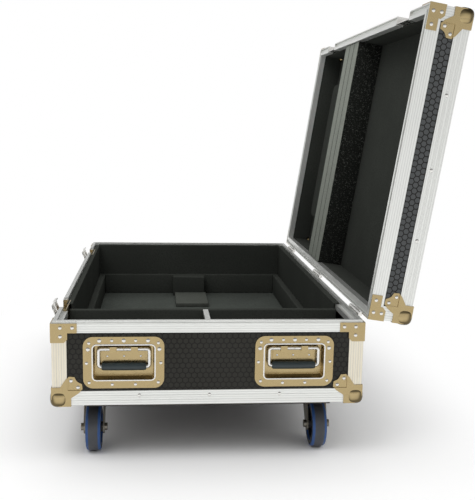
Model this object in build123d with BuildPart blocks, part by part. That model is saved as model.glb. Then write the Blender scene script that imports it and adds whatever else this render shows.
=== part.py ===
from build123d import *
import os

# Flight case on four swivel casters, lid standing open on its hinges.
# Frame: +Y runs along the case, +X towards the hinges, z = 0 on the floor.

# Driving sizes of the case
CASE_W = 640.0            # base, outside of the edge extrusions
CASE_L = 1100.0
BASE_H = 172.0            # base box, bottom extrusion to rim
LID_H = 90.0
LID_OPEN = 98.5           # degrees from closed to the hinge stop
PLY = 7.0                 # laminated board
WALL = 2.0                # wall of the aluminium extrusions
EDGE_W = 30.0             # leg of the edge extrusions
SEAT = 0.3                # gap left beside soft or moving pieces
CASE_X = -88.3            # case centre, so that the open case is centred on X = 0

# Casters
WHEEL_D = 100.0
TYRE_W = 32.0
CASTER_H = 120.0
CASTER_TRAIL = 38.0
CASTER_X = 78.0           # swivel axis from the case side
CASTER_Y = 118.0          # swivel axis from the case end
PLATE_X, PLATE_Y, PLATE_T = 85.0, 100.0, 3.0
BOARD_T = 6.0             # caster board
BOARD_IN = 10.0
BOARD_NOTCH = 64.0
PLATE_R, BOLT_X, BOLT_Y, BOLT_R = 8.0, 63.0, 80.0, 4.2
RACE_R, RACE_H, SWIVEL_R = 28.0, 9.0, 6.0
FORK_T, FORK_GAP = 3.0, 3.0
FORK_FRONT, FORK_BACK = 18.0, 26.0      # crown, ahead of the swivel axis and behind it
HEEL_Y, HEEL_DROP = 14.0, 16.0
CHEEK_R, CHEEK_TOP, CHEEK_CUT = 13.0, 6.0, 7.0
AXLE_R, NUT_R, NUT_T = 5.0, 8.0, 6.0
HUB_R, HUB_OUT, WEB_T, WHEEL_RIM, WHEEL_IN = 11.0, 2.0, 10.0, 5.0, 4.0
TYRE_T, TYRE_SIDE, TYRE_FLAT, TYRE_CROWN = 14.0, 5.0, 9.0, 0.8

# Rim extrusions
RIM_BASE = 20.0           # height of the outer leg on the base
RIM_LID = 28.0
RIM_W = 20.0
TONGUE_W, TONGUE_H, TONGUE_IN = 8.0, 5.0, 3.0
TONGUE_GAP = 0.6
RIM_GAP = 0.5             # between base and lid when closed
INNER_LEG = 16.0
SHELF_DROP = 4.0          # inner shelf below the seam
GROOVE = 0.6              # half width and depth of the fine grooves
MITRE = 0.1

# Linings and dividers
FOAM = 15.5               # wall lining, over the rim's inner leg
FLOOR_FOAM = 5.0
LEDGE_T, LEDGE_H = 18.0, 62.0
DIVIDER_Y = 176.0         # near face of the long divider, from the near end
DIVIDER_T = 14.0
DIVIDER_DROP = 12.0
SHORT_T = 8.0
CAP_W, CAP_H, CAP_WALL = 11.0, 9.0, 1.5
REAR_BLOCK_LEFT, REAR_BLOCK_W, REAR_BLOCK_T = 56.0, 102.0, 42.0
FLAT_BLOCK_LEFT, FLAT_BLOCK_W, FLAT_BLOCK_L, FLAT_BLOCK_H = 50.0, 100.0, 168.0, 12.0

# Inside of the lid
LID_FOAM = 12.0
RIB_Y, RIB_T, RIB_DOWN = 579.0, 152.0, 4.0   # rib across the lid; top edge below the seam
RIB_GROOVE = 4.0          # width and depth of its two long grooves
PAD_IN, PAD_L, PAD_W, PAD_T, PAD_R = 60.0, 240.0, 420.0, 22.0, 30.0

# Recessed handles
HANDLE_W, HANDLE_H, HANDLE_R = 164.0, 108.0, 20.0
DISH_W, DISH_H, DISH_D, DISH_R = 124.0, 72.0, 17.5, 7.0
HANDLE_IN = 144.5         # handle centre, in from the case side
HANDLE_X = CASE_W / 2 - HANDLE_IN
HANDLE_Z = 89.5           # handle centre above the base bottom
SHEET = 1.5
BAIL_D, GRIP_D, GRIP_L = 8.0, 16.0, 91.0
BAIL_W, BAIL_DROP = 104.0, 37.0
BAIL_BEND = 6.0
BAIL_TOP = 10.0           # bail pivot below the dish opening's top edge
COVER_W, COVER_H, COVER_RAISE = 86.0, 20.0, 2.0
LUG_W, LUG_UP = 14.0, 6.0
DRAFT = 8.0

# Catches
CATCH_Y = 176.0           # catch centre from the case ends
CATCH_W = 94.0
CATCH_H, KEEPER_H = 64.0, 40.0
CATCH_D = 14.0
FLANGE = 6.0
CLAW_W, CLAW_T, CLAW_TOP = 34.0, 2.0, 14.0
CLAW_PIVOT = 53.0         # claw pivot below the rim
CLAW_TILT = 21.0
CLAW_IN = 9.0             # outer face of the upright claw, in from the case side
WING_W, WING_H, WING_T = 46.0, 40.0, 1.6
ROTOR_DROP = 22.0         # rotor axis below the rim
ROTOR_R, ROTOR_T, ROTOR_EDGE = 9.0, 2.6, 2.0
WING_CUT, WING_SHOULDER = 8.0, 4.0
WING_HOLE_R, WING_HOLE_DROP = 3.0, 10.0
WING_IN, WING_R, WING_PIN_R = 3.6, 1.8, 1.0
LUG_T = 3.0
CLAW_PIN_R = 1.5
KEEPER_BAR = 4.0

# Hinges
HINGE_W = 90.0
HINGE_IN = 110.0          # outer hinges, in from the case ends
HINGE_Y = CASE_L / 2 - HINGE_IN   # outer hinges, from the middle one
PIVOT_OUT, PIVOT_UP = 7.0, 2.0
KNUCKLE_R, PIN_R, PIN_FIT = 4.5, 2.2, 0.05
LEAF_T, LEAF_H, LEAF_SHORT = 2.0, 16.0, 4.0
KNUCKLE_REACH = 0.7       # where the leaf meets its knuckle, as a part of the radius

# Corners
BALL_R, BALL_IN = 18.5, 13.0
CORNER_END = 30.0         # where the edge extrusions stop short of a ball corner
BALL_LEG = 38.0
LOBE = 61.0               # reach of the rivet lobes
LOBE_TIP, LOBE_DIP, LOBE_CUT = 9.0, 12.0, 7.0
NECK, WAIST, HIP = 0.42, 0.7, 0.9   # of the ball corner's leg, along its outline
NIP = 24.0                # boards are cut back inside a ball corner
PLATE = 2.0               # thickness of ball corner plates and braces
BRACE_LONG, BRACE_SHORT, BRACE_DROP, BRACE_CUT = 51.0, 32.0, 40.0, 7.0
LID_BRACE_SHORT, LID_BRACE_DROP, LID_BRACE_LEG = 27.0, 34.0, 22.0
BRACE_SPOTS = ((18.0, 9.0), (42.0, 9.0), (18.0, 27.0))
LID_BRACE_SPOTS = ((14.0, 9.0), (40.0, 10.0), (14.0, 26.0))
RIVET_R, RIVET_H, RIVET_TAPER = 3.9, 1.8, 35.0

BASE_Z = CASTER_H + BOARD_T
RIM_Z = BASE_Z + BASE_H
LEFT, RIGHT = CASE_X - CASE_W / 2, CASE_X + CASE_W / 2
NEAR, FAR = -CASE_L / 2, CASE_L / 2
PIVOT_X, PIVOT_Z = RIGHT + PIVOT_OUT, RIM_Z + PIVOT_UP
LID_Z = RIM_Z + RIM_GAP   # lid's rim plane when closed
LID_TOP = LID_Z + LID_H
INNER = WALL + PLY        # case side to the inner face of its board
HINGE_AXIS = Axis((PIVOT_X, 0, PIVOT_Z), (0, 1, 0))
HINGE_CENTRES = (-HINGE_Y, 0.0, HINGE_Y)
CATCH_CENTRES = (NEAR + CATCH_Y, FAR - CATCH_Y)


os.makedirs("parts", exist_ok=True)


def write(part, name):
    """Label a finished piece and write it under its own name."""
    part.label = name
    export_step(part, f"parts/{name}.step")


def group(pieces):
    """Keep like pieces as separate solids of one node."""
    return Compound([solid for piece in pieces for solid in piece.solids()])


def open_lid(part):
    """Turn a lid piece from the closed place it is drawn in to the open one."""
    return part.rotate(HINGE_AXIS, LID_OPEN)


def block(x0, x1, y0, y1, z0, z1, mode=Mode.ADD):
    """A plain block between six faces."""
    with Locations(((x0 + x1) / 2, (y0 + y1) / 2, (z0 + z1) / 2)):
        Box(x1 - x0, y1 - y0, z1 - z0, mode=mode)


def along_x(points, x0, x1, mode=Mode.ADD):
    """A prism of a (y, z) outline from x0 to x1."""
    with BuildSketch(Plane.YZ.offset(x0)) as outline:
        with BuildLine():
            Polyline(*points, close=True)
        make_face()
    extrude(outline.sketch, amount=x1 - x0, mode=mode)


def along_y(points, y0, y1, mode=Mode.ADD):
    """A prism of an (x, z) outline from y0 to y1."""
    with BuildSketch(Plane.XZ.offset(-y0)) as outline:
        with BuildLine():
            Polyline(*points, close=True)
        make_face()
    extrude(outline.sketch, amount=y0 - y1, mode=mode)


def along_z(points, z0, z1, mode=Mode.ADD):
    """A prism of an (x, y) outline from z0 to z1."""
    with BuildSketch(Plane.XY.offset(z0)) as outline:
        with BuildLine():
            Polyline(*points, close=True)
        make_face()
    extrude(outline.sketch, amount=z1 - z0, mode=mode)


def grooved(leg):
    """Points along the outer face of a leg, with its two grooves, from the corner out."""
    points = []
    for spot in (leg / 3, leg * 2 / 3):
        points += [(spot - GROOVE, 0), (spot - GROOVE, GROOVE), (spot + GROOVE, GROOVE), (spot + GROOVE, 0)]
    return points


def edge_section(u, v, to_u, to_v):
    """Section of an edge extrusion with its outer corner at u, v."""
    leg = grooved(EDGE_W)
    outline = [(0, 0)] + leg + [(EDGE_W, 0), (EDGE_W, WALL), (WALL, WALL), (WALL, EDGE_W), (0, EDGE_W)]
    outline += [(b, a) for a, b in reversed(leg)]
    return [(u + to_u * a, v + to_v * b) for a, b in outline]


def edge_frame(z, up, height):
    """Edge extrusions round one flat side of a box and up its four corners."""
    pieces = []
    ends = ((NEAR, 1), (FAR, -1))
    sides = ((LEFT, 1), (RIGHT, -1))
    for y, inward in ends:
        with BuildPart() as length:
            along_x(edge_section(y, z, inward, up), LEFT + CORNER_END, RIGHT - CORNER_END)
        pieces.append(length.part)
    for x, inward in sides:
        with BuildPart() as length:
            along_y(edge_section(x, z, inward, up), NEAR + CORNER_END, FAR - CORNER_END)
        pieces.append(length.part)
    low, high = sorted((z + up * CORNER_END, z + up * height))
    for x, to_x in sides:
        for y, to_y in ends:
            with BuildPart() as length:
                along_z(edge_section(x, y, to_x, to_y), low, high)
            pieces.append(length.part)
    return pieces


def base_rim_section():
    """Section of the base rim: outer leg, tongue, inner shelf. u inwards, v up from the seam."""
    a, b = TONGUE_IN, TONGUE_IN + TONGUE_W
    return [
        (0, -RIM_BASE), (0, 0), (a, 0), (a, TONGUE_H), (b, TONGUE_H), (b, -SHELF_DROP), (RIM_W, -SHELF_DROP),
        (RIM_W, -INNER_LEG), (RIM_W - WALL, -INNER_LEG), (RIM_W - WALL, -SHELF_DROP - WALL),
        (INNER, -SHELF_DROP - WALL), (INNER, -WALL), (WALL, -WALL), (WALL, -RIM_BASE),
    ]


def lid_rim_section():
    """Section of the lid rim: outer leg, groove for the tongue, inner leg. v down from the seam."""
    a, b = TONGUE_IN - TONGUE_GAP, TONGUE_IN + TONGUE_W + TONGUE_GAP
    depth = TONGUE_H + TONGUE_GAP
    return [
        (0, -RIM_LID), (0, 0), (a, 0), (a, -depth), (b, -depth), (b, 0), (RIM_W, 0), (RIM_W, -INNER_LEG),
        (RIM_W - WALL, -INNER_LEG), (RIM_W - WALL, -depth - WALL), (WALL, -depth - WALL), (WALL, -RIM_LID),
    ]


def rim_frame(section, z, up, cut_low, cut_high):
    """Four mitred lengths of rim extrusion, the catch side cut away at its catches."""
    pieces = []
    reach = RIM_W + 1
    for y, inward in ((NEAR, 1), (FAR, -1)):
        with BuildPart() as length:
            along_x([(y + inward * u, z + up * v) for u, v in section], LEFT, RIGHT)
            mitre = [
                (LEFT + MITRE, y), (RIGHT - MITRE, y),
                (RIGHT - reach - MITRE, y + inward * reach), (LEFT + reach + MITRE, y + inward * reach),
            ]
            along_z(mitre, z - 2 * EDGE_W, z + 2 * EDGE_W, mode=Mode.INTERSECT)
        pieces.append(length.part)
    for x, inward in ((LEFT, 1), (RIGHT, -1)):
        with BuildPart() as length:
            along_y([(x + inward * u, z + up * v) for u, v in section], NEAR, FAR)
            mitre = [
                (x, NEAR + MITRE), (x, FAR - MITRE),
                (x + inward * reach, FAR - reach - MITRE), (x + inward * reach, NEAR + reach + MITRE),
            ]
            along_z(mitre, z - 2 * EDGE_W, z + 2 * EDGE_W, mode=Mode.INTERSECT)
            if inward > 0:
                for y in CATCH_CENTRES:
                    half = CATCH_W / 2 + SEAT
                    block(x - 1, x + reach, y - half, y + half, cut_low, cut_high, mode=Mode.SUBTRACT)
        pieces.append(length.part)
    return pieces


def leg_outline(reach, lobe):
    """Outline of one leg of a ball corner, u and v along the two edges that it covers."""
    return [
        (-PLATE, -PLATE), (reach, -PLATE), (reach, reach * NECK), (lobe - LOBE_CUT, reach * WAIST),
        (lobe, reach * HIP), (lobe - 1, reach + LOBE_CUT), (lobe - LOBE_TIP, lobe - LOBE_DIP),
        (lobe - LOBE_DIP, lobe - LOBE_TIP), (reach + LOBE_CUT, lobe - 1), (reach * HIP, lobe),
        (reach * WAIST, lobe - LOBE_CUT), (reach * NECK, reach), (-PLATE, reach),
    ]


def lobes_outline(reach, lobe):
    """The part of a leg that lies past the edge extrusions, set down on the board."""
    a = EDGE_W + SEAT
    return [
        (a, a), (lobe - LOBE_CUT / 2, a), (lobe, reach * HIP), (lobe - 1, reach + LOBE_CUT),
        (lobe - LOBE_TIP, lobe - LOBE_DIP), (lobe - LOBE_DIP, lobe - LOBE_TIP), (reach + LOBE_CUT, lobe - 1),
        (reach * HIP, lobe), (a, lobe - LOBE_CUT / 2),
    ]


def ball_corners(z, up):
    """Four ball corners: a hollow ball on three sheet legs, each leg with two rivet lobes."""
    legs, lobes = leg_outline(BALL_LEG, LOBE), lobes_outline(BALL_LEG, LOBE)
    down = EDGE_W + PLATE
    far = LOBE + 2
    pieces = []
    for x, to_x in ((LEFT, 1), (RIGHT, -1)):
        for y, to_y in ((NEAR, 1), (FAR, -1)):
            with BuildPart() as corner:
                on_side = [(y + to_y * a, z + up * b) for a, b in legs]
                on_end = [(x + to_x * a, z + up * b) for a, b in legs]
                on_flat = [(x + to_x * a, y + to_y * b) for a, b in legs]
                along_x(on_side, *sorted((x, x - to_x * PLATE)))
                along_y(on_end, *sorted((y, y - to_y * PLATE)))
                along_z(on_flat, *sorted((z, z - up * PLATE)))
                xs = sorted((x + to_x * down, x + to_x * far))
                ys = sorted((y + to_y * down, y + to_y * far))
                zs = sorted((z + up * down, z + up * far))
                block(*sorted((x - to_x * far, x + to_x * PLATE)), *ys, *zs, mode=Mode.SUBTRACT)
                block(*xs, *sorted((y - to_y * far, y + to_y * PLATE)), *zs, mode=Mode.SUBTRACT)
                block(*xs, *ys, *sorted((z - up * far, z + up * PLATE)), mode=Mode.SUBTRACT)
                along_x([(y + to_y * a, z + up * b) for a, b in lobes], *sorted((x, x + to_x * PLATE)))
                along_y([(x + to_x * a, z + up * b) for a, b in lobes], *sorted((y, y + to_y * PLATE)))
                along_z([(x + to_x * a, y + to_y * b) for a, b in lobes], *sorted((z, z + up * PLATE)))
                centre = (x + to_x * BALL_IN, y + to_y * BALL_IN, z + up * BALL_IN)
                tip = BALL_IN + PLATE + 1
                block(
                    *sorted((centre[0], centre[0] - to_x * tip)), *sorted((centre[1], centre[1] - to_y * tip)),
                    *sorted((centre[2], centre[2] - up * tip)), mode=Mode.SUBTRACT,
                )
                with Locations(centre):
                    Sphere(BALL_R)
                    Sphere(BALL_R - PLATE, mode=Mode.SUBTRACT)
                block(
                    *sorted((x + to_x * WALL, x + to_x * far)), *sorted((y + to_y * WALL, y + to_y * far)),
                    *sorted((z + up * WALL, z + up * far)), mode=Mode.SUBTRACT,
                )
            pieces.append(corner.part)
    return pieces


def braces(z, up, outline):
    """Four braces that wrap the corners of a rim on two faces."""
    pieces = []
    for x, to_x in ((LEFT, 1), (RIGHT, -1)):
        for y, to_y in ((NEAR, 1), (FAR, -1)):
            with BuildPart() as brace:
                along_x([(y + to_y * a, z + up * b) for a, b in outline], *sorted((x, x - to_x * PLATE)))
                along_y([(x + to_x * a, z + up * b) for a, b in outline], *sorted((y, y - to_y * PLATE)))
            pieces.append(brace.part)
    return pieces


def brace_outline(long, short, drop, leg):
    """L outline of a brace: long leg along the rim, short one down the corner."""
    return [
        (-PLATE, 0), (long, 0), (long, leg), (short, leg), (short, drop - BRACE_CUT),
        (short - BRACE_CUT, drop), (-PLATE, drop),
    ]


def rivet_rows(spots, z, up, lift):
    """Rivet heads at u, v spots of the four corners, on the end and side faces."""
    pieces = []
    with BuildPart() as heads:
        for x, to_x in ((LEFT, 1), (RIGHT, -1)):
            for y, to_y in ((NEAR, 1), (FAR, -1)):
                for u, v in spots:
                    head_z = z + up * v
                    rivet((x - to_x * lift, y + to_y * u, head_z), (-to_x, 0, 0))
                    rivet((x + to_x * u, y - to_y * lift, head_z), (0, -to_y, 0))
    pieces.append(heads.part)
    return pieces


def rivet(place, outward):
    """One domed rivet head standing on a face."""
    with BuildSketch(Plane(origin=place, z_dir=outward)) as foot:
        RegularPolygon(RIVET_R, 6)
    extrude(foot.sketch, amount=RIVET_H, taper=RIVET_TAPER)


def handle_places():
    """x of the two handles, then y of an end and its inward direction."""
    return [(CASE_X + s * HANDLE_X, y, to_y) for y, to_y in ((NEAR, 1), (FAR, -1)) for s in (-1, 1)]


def end_plane(x, y, to_y, z):
    """A plane on an end face that looks outwards, its y axis up."""
    return Plane(origin=(x, y, z), x_dir=(to_y, 0, 0), z_dir=(0, -to_y, 0))


def nip(z):
    """Cut a board back at the four ball corners at height z."""
    for x in (LEFT, RIGHT):
        for y in (NEAR, FAR):
            block(x - NIP, x + NIP, y - NIP, y + NIP, z - NIP, z + NIP, mode=Mode.SUBTRACT)


def side_panel(x0, x1):
    """A long side board between the end boards."""
    block(x0, x1, NEAR + INNER, FAR - INNER, BASE_Z + WALL, RIM_Z - WALL)
    nip(BASE_Z)


# Boards of the base

with BuildPart() as base_end_panels:
    for y, to_y in ((NEAR, 1), (FAR, -1)):
        y0, y1 = sorted((y + to_y * WALL, y + to_y * INNER))
        block(LEFT + WALL, RIGHT - WALL, y0, y1, BASE_Z + WALL, RIM_Z - WALL)
    for x, y, to_y in handle_places():
        with BuildSketch(end_plane(x, y, to_y, BASE_Z + HANDLE_Z)):
            RectangleRounded(DISH_W + 2 * (SHEET + SEAT), DISH_H + 2 * (SHEET + SEAT), DISH_R + SHEET)
        extrude(amount=-INNER - 1, mode=Mode.SUBTRACT)
    nip(BASE_Z)
write(base_end_panels.part, "base_end_panels")


with BuildPart() as hinge_side_panel:
    side_panel(RIGHT - INNER, RIGHT - WALL)
write(hinge_side_panel.part, "hinge_side_panel")

with BuildPart() as catch_side_panel:
    side_panel(LEFT + WALL, LEFT + INNER)
    for y in CATCH_CENTRES:
        half = CATCH_W / 2 + SEAT
        block(LEFT, LEFT + 2 * INNER, y - half, y + half, RIM_Z - CATCH_H - SEAT, RIM_Z + 1, mode=Mode.SUBTRACT)
write(catch_side_panel.part, "catch_side_panel")

with BuildPart() as floor_panel:
    block(LEFT + INNER, RIGHT - INNER, NEAR + INNER, FAR - INNER, BASE_Z + WALL, BASE_Z + INNER)
    nip(BASE_Z)
write(floor_panel.part, "floor_panel")

with BuildPart() as caster_board:
    block(LEFT + BOARD_IN, RIGHT - BOARD_IN, NEAR + BOARD_IN, FAR - BOARD_IN, CASTER_H, BASE_Z)
    block(LEFT + EDGE_W, RIGHT - EDGE_W, NEAR + EDGE_W, FAR - EDGE_W, BASE_Z, BASE_Z + WALL)
    for x in (LEFT, RIGHT):
        for y in (NEAR, FAR):
            n = BOARD_NOTCH
            block(x - n, x + n, y - n, y + n, CASTER_H - 1, BASE_Z + INNER, mode=Mode.SUBTRACT)
write(caster_board.part, "caster_board")

# Aluminium extrusions

edge_extrusions = group(edge_frame(BASE_Z, 1, BASE_H - RIM_BASE))
write(edge_extrusions, "edge_extrusions")

cut = (RIM_Z - EDGE_W - 1, RIM_Z + EDGE_W)
base_rim_extrusions = group(rim_frame(base_rim_section(), RIM_Z, 1, *cut))
write(base_rim_extrusions, "base_rim_extrusions")

# Corner hardware

base_ball_corners = group(ball_corners(BASE_Z, 1))
write(base_ball_corners, "base_ball_corners")

base_braces = group(braces(RIM_Z, -1, brace_outline(BRACE_LONG, BRACE_SHORT, BRACE_DROP, RIM_BASE)))
write(base_braces, "base_braces")

LOBE_SPOTS = ((LOBE - LOBE_TIP, BALL_LEG), (BALL_LEG, LOBE - LOBE_TIP))
base_rivets = group(rivet_rows(BRACE_SPOTS, RIM_Z, -1, PLATE) + rivet_rows(LOBE_SPOTS, BASE_Z, 1, 0.0))
write(base_rivets, "base_rivets")

# Recessed handles: dish, cover plate, sprung bail with a rubber grip

with BuildPart() as handle_dishes:
    for x, y, to_y in handle_places():
        face = end_plane(x, y + to_y * WALL, to_y, BASE_Z + HANDLE_Z)
        with BuildSketch(face):
            RectangleRounded(HANDLE_W, HANDLE_H, HANDLE_R)
        extrude(amount=SHEET)
        with BuildSketch(face):
            RectangleRounded(DISH_W + 2 * SHEET, DISH_H + 2 * SHEET, DISH_R + SHEET)
        extrude(amount=-DISH_D - SHEET, taper=DRAFT)
        with BuildSketch(face.offset(SHEET)):
            RectangleRounded(DISH_W, DISH_H, DISH_R)
        extrude(amount=-DISH_D - SHEET, taper=DRAFT, mode=Mode.SUBTRACT)
write(handle_dishes.part, "handle_dishes")

PIVOT_UPPER = BASE_Z + HANDLE_Z + DISH_H / 2 - BAIL_TOP
GRIP_IN = WALL + GRIP_D / 2 + SEAT      # grip centre, in from the case end
with BuildPart() as handle_covers:
    for x, y, to_y in handle_places():
        y0, y1 = sorted((y + to_y * (WALL + DISH_D - COVER_RAISE), y + to_y * (WALL + DISH_D)))
        top = PIVOT_UPPER - BAIL_D / 2 - SEAT
        block(x - COVER_W / 2, x + COVER_W / 2, y0, y1, top - COVER_H, top)
        for s in (-1, 1):
            lug = x + s * COVER_W / 4
            block(lug - LUG_W / 2, lug + LUG_W / 2, y0, y1, top, PIVOT_UPPER + LUG_UP)
        for lug in (x - COVER_W / 4, x + COVER_W / 4):
            low, high = sorted((y + to_y * (GRIP_IN - BAIL_D), y0 if to_y > 0 else y1))
            block(lug - LUG_W / 2, lug + LUG_W / 2, low, high, PIVOT_UPPER - LUG_UP, PIVOT_UPPER + LUG_UP)
            with Locations(Pos(lug, y + to_y * GRIP_IN, PIVOT_UPPER) * Rot(0, 90, 0)):
                Cylinder(BAIL_D / 2 + PIN_FIT, LUG_W + 2, mode=Mode.SUBTRACT)
write(handle_covers.part, "handle_covers")

for number, (x, y, to_y) in enumerate(handle_places(), 1):
    grip_y = y + to_y * GRIP_IN
    grip_z = PIVOT_UPPER - BAIL_DROP
    with BuildPart() as bail:
        with BuildLine() as route:
            left, right = x - BAIL_W / 2, x + BAIL_W / 2
            FilletPolyline(
                (x + 0.5, grip_y, PIVOT_UPPER), (right, grip_y, PIVOT_UPPER), (right, grip_y, grip_z),
                (left, grip_y, grip_z), (left, grip_y, PIVOT_UPPER), (x - 0.5, grip_y, PIVOT_UPPER), radius=BAIL_BEND,
            )
        with BuildSketch(Plane(origin=route.line @ 0, z_dir=route.line % 0)):
            Circle(BAIL_D / 2)
        sweep()
    write(bail.part, f"handle_bail_{number}")
    with BuildPart() as grip:
        with Locations(Pos(x, grip_y, grip_z) * Rot(0, 90, 0)):
            Cylinder(GRIP_D / 2, GRIP_L)
            Cylinder(BAIL_D / 2, GRIP_L + 1, mode=Mode.SUBTRACT)
    write(grip.part, f"handle_grip_{number}")

# Catches: a dish with a cross pin, a claw that tips out, a rotor on the claw, a folding wing

PIN_Z = RIM_Z - CLAW_PIVOT
PIN_X = LEFT + CLAW_IN + CLAW_T / 2
ROTOR_Z = RIM_Z - ROTOR_DROP
CLAW_AXIS = Axis((PIN_X, 0, PIN_Z), (0, 1, 0))
WING_X = LEFT + WING_IN

with BuildPart() as catch_dishes:
    for y in CATCH_CENTRES:
        half = CATCH_W / 2
        back = LEFT + WALL + CATCH_D + SHEET
        base = RIM_Z - CATCH_H
        block(LEFT + WALL - SHEET, back, y - half, y + half, base, RIM_Z - RIM_GAP)
        block(
            LEFT + WALL - SHEET, LEFT + WALL, y - half - FLANGE, y + half + FLANGE,
            base - FLANGE, RIM_Z - RIM_BASE - SEAT,
        )
        block(LEFT, back - SHEET, y - half + SHEET, y + half - SHEET, base + SHEET, RIM_Z + 1, mode=Mode.SUBTRACT)
        with Locations(Pos(PIN_X, y, PIN_Z) * Rot(90, 0, 0)):
            Cylinder(CLAW_PIN_R, CATCH_W - SHEET)
write(catch_dishes.part, "catch_dishes")

for number, y in enumerate(CATCH_CENTRES, 1):
    with BuildPart() as claw:
        block(PIN_X - CLAW_T / 2, PIN_X + CLAW_T / 2, y - CLAW_W / 2, y + CLAW_W / 2, PIN_Z, RIM_Z + CLAW_TOP)
        hook_x = LEFT + WALL + CATCH_D - SEAT
        block(PIN_X, hook_x, y - CLAW_W / 2, y + CLAW_W / 2, RIM_Z + CLAW_TOP - CLAW_T, RIM_Z + CLAW_TOP)
        with Locations(Pos(PIN_X, y, PIN_Z) * Rot(90, 0, 0)):
            Cylinder(CLAW_PIN_R + CLAW_T, CLAW_W)
            Cylinder(CLAW_PIN_R + PIN_FIT, CLAW_W + 1, mode=Mode.SUBTRACT)
        with Locations(Pos(PIN_X, y, ROTOR_Z) * Rot(0, 90, 0)):
            Cylinder(ROTOR_R / 2 + PIN_FIT, 2 * CLAW_T, mode=Mode.SUBTRACT)
    write(claw.part.rotate(CLAW_AXIS, -CLAW_TILT), f"catch_claw_{number}")

    disc_x = LEFT + CLAW_IN - SEAT
    with BuildPart() as rotor:
        with BuildSketch(Plane.YZ.offset(disc_x - ROTOR_T)):
            with Locations((y, ROTOR_Z)):
                Circle(ROTOR_R)
        extrude(amount=ROTOR_T)
        with BuildSketch(Plane.YZ.offset(disc_x)):
            with Locations((y, ROTOR_Z)):
                Circle(ROTOR_R / 2)
        extrude(amount=CLAW_T + 2 * SEAT)
        with BuildSketch(Plane.YZ.offset(disc_x + CLAW_T + 2 * SEAT)):
            with Locations((y, ROTOR_Z)):
                Circle(ROTOR_R - ROTOR_EDGE)
        extrude(amount=CLAW_T)
        for s in (-1, 1):
            lug = y + s * (WING_W / 2 - LUG_T / 2)
            pin_z = ROTOR_Z - ROTOR_R - WING_R - SEAT
            block(disc_x - ROTOR_T, disc_x - SEAT, *sorted((y, lug + s * LUG_T / 2)), pin_z - 1, ROTOR_Z - ROTOR_R / 2)
            block(WING_X - WING_R, disc_x - SEAT, lug - LUG_T / 2, lug + LUG_T / 2, pin_z - WING_R, pin_z + WING_R)
        with Locations(Pos(WING_X, y, pin_z) * Rot(90, 0, 0)):
            Cylinder(WING_PIN_R, WING_W - LUG_T)
    write(rotor.part.rotate(CLAW_AXIS, -CLAW_TILT), f"catch_rotor_{number}")

    inside = WING_W / 2 - LUG_T - SEAT
    with BuildPart() as wing:
        with Locations(Pos(WING_X, y, pin_z) * Rot(90, 0, 0)):
            Cylinder(WING_R, 2 * inside)
        block(WING_X - WING_T / 2, WING_X + WING_T / 2, y - inside, y + inside, pin_z, pin_z + WING_R + 1)
        top, foot, half = pin_z + WING_H, pin_z + WING_R + 1, WING_W / 2
        along_x(
            [(y - inside, foot), (y + inside, foot), (y + half, foot + WING_SHOULDER),
             (y + half, top - WING_CUT), (y + half - WING_CUT, top), (y - half + WING_CUT, top),
             (y - half, top - WING_CUT), (y - half, foot + WING_SHOULDER)],
            WING_X - WING_T / 2, WING_X + WING_T / 2,
        )
        with Locations(Pos(WING_X, y, pin_z) * Rot(90, 0, 0)):
            Cylinder(WING_PIN_R + PIN_FIT, WING_W, mode=Mode.SUBTRACT)
        with Locations(Pos(WING_X, y, top - WING_HOLE_DROP) * Rot(0, 90, 0)):
            Cylinder(WING_HOLE_R, 2 * WING_T, mode=Mode.SUBTRACT)
    write(wing.part.rotate(CLAW_AXIS, -CLAW_TILT), f"catch_wing_{number}")

# Hinges: base leaf with two knuckles, lid leaf with one, pin riveted in the base leaf

KNUCKLE_L = (HINGE_W - 2 * SEAT) / 3
meet = KNUCKLE_R * KNUCKLE_REACH
with BuildPart() as hinge_base_leaves:
    for y in HINGE_CENTRES:
        block(RIGHT, RIGHT + LEAF_T, y - HINGE_W / 2, y + HINGE_W / 2, RIM_Z - LEAF_H, RIM_Z - KNUCKLE_R)
        for s in (-1, 1):
            middle = y + s * (KNUCKLE_L + SEAT)
            y0, y1 = middle - KNUCKLE_L / 2, middle + KNUCKLE_L / 2
            along_y(
                [(RIGHT, RIM_Z - KNUCKLE_R), (RIGHT + LEAF_T, RIM_Z - KNUCKLE_R - LEAF_T),
                 (PIVOT_X + meet, PIVOT_Z - meet), (PIVOT_X, PIVOT_Z), (RIGHT, RIM_Z - 1)],
                y0, y1,
            )
            with Locations(Pos(PIVOT_X, middle, PIVOT_Z) * Rot(90, 0, 0)):
                Cylinder(KNUCKLE_R, KNUCKLE_L)
                Cylinder(PIN_R, KNUCKLE_L + 1, mode=Mode.SUBTRACT)
write(hinge_base_leaves.part, "hinge_base_leaves")

with BuildPart() as hinge_pins:
    for y in HINGE_CENTRES:
        with Locations(Pos(PIVOT_X, y, PIVOT_Z) * Rot(90, 0, 0)):
            Cylinder(PIN_R, HINGE_W)
write(hinge_pins.part, "hinge_pins")

with BuildPart() as hinge_lid_leaves:
    for y in HINGE_CENTRES:
        y0, y1 = y - KNUCKLE_L / 2, y + KNUCKLE_L / 2
        foot = LID_Z + KNUCKLE_R + PIVOT_UP
        block(RIGHT, RIGHT + LEAF_T, y - HINGE_W / 2, y + HINGE_W / 2, foot, LID_Z + RIM_LID - LEAF_SHORT)
        along_y(
            [(RIGHT + LEAF_T, foot + LEAF_T), (PIVOT_X + meet, PIVOT_Z + meet),
             (PIVOT_X, PIVOT_Z), (RIGHT + 1, PIVOT_Z + 1), (RIGHT, foot)], y0, y1,
        )
        with Locations(Pos(PIVOT_X, y, PIVOT_Z) * Rot(90, 0, 0)):
            Cylinder(KNUCKLE_R, KNUCKLE_L)
            Cylinder(PIN_R + PIN_FIT, KNUCKLE_L + 1, mode=Mode.SUBTRACT)
write(open_lid(hinge_lid_leaves.part), "hinge_lid_leaves")

# Foam linings and dividers of the base

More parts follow.
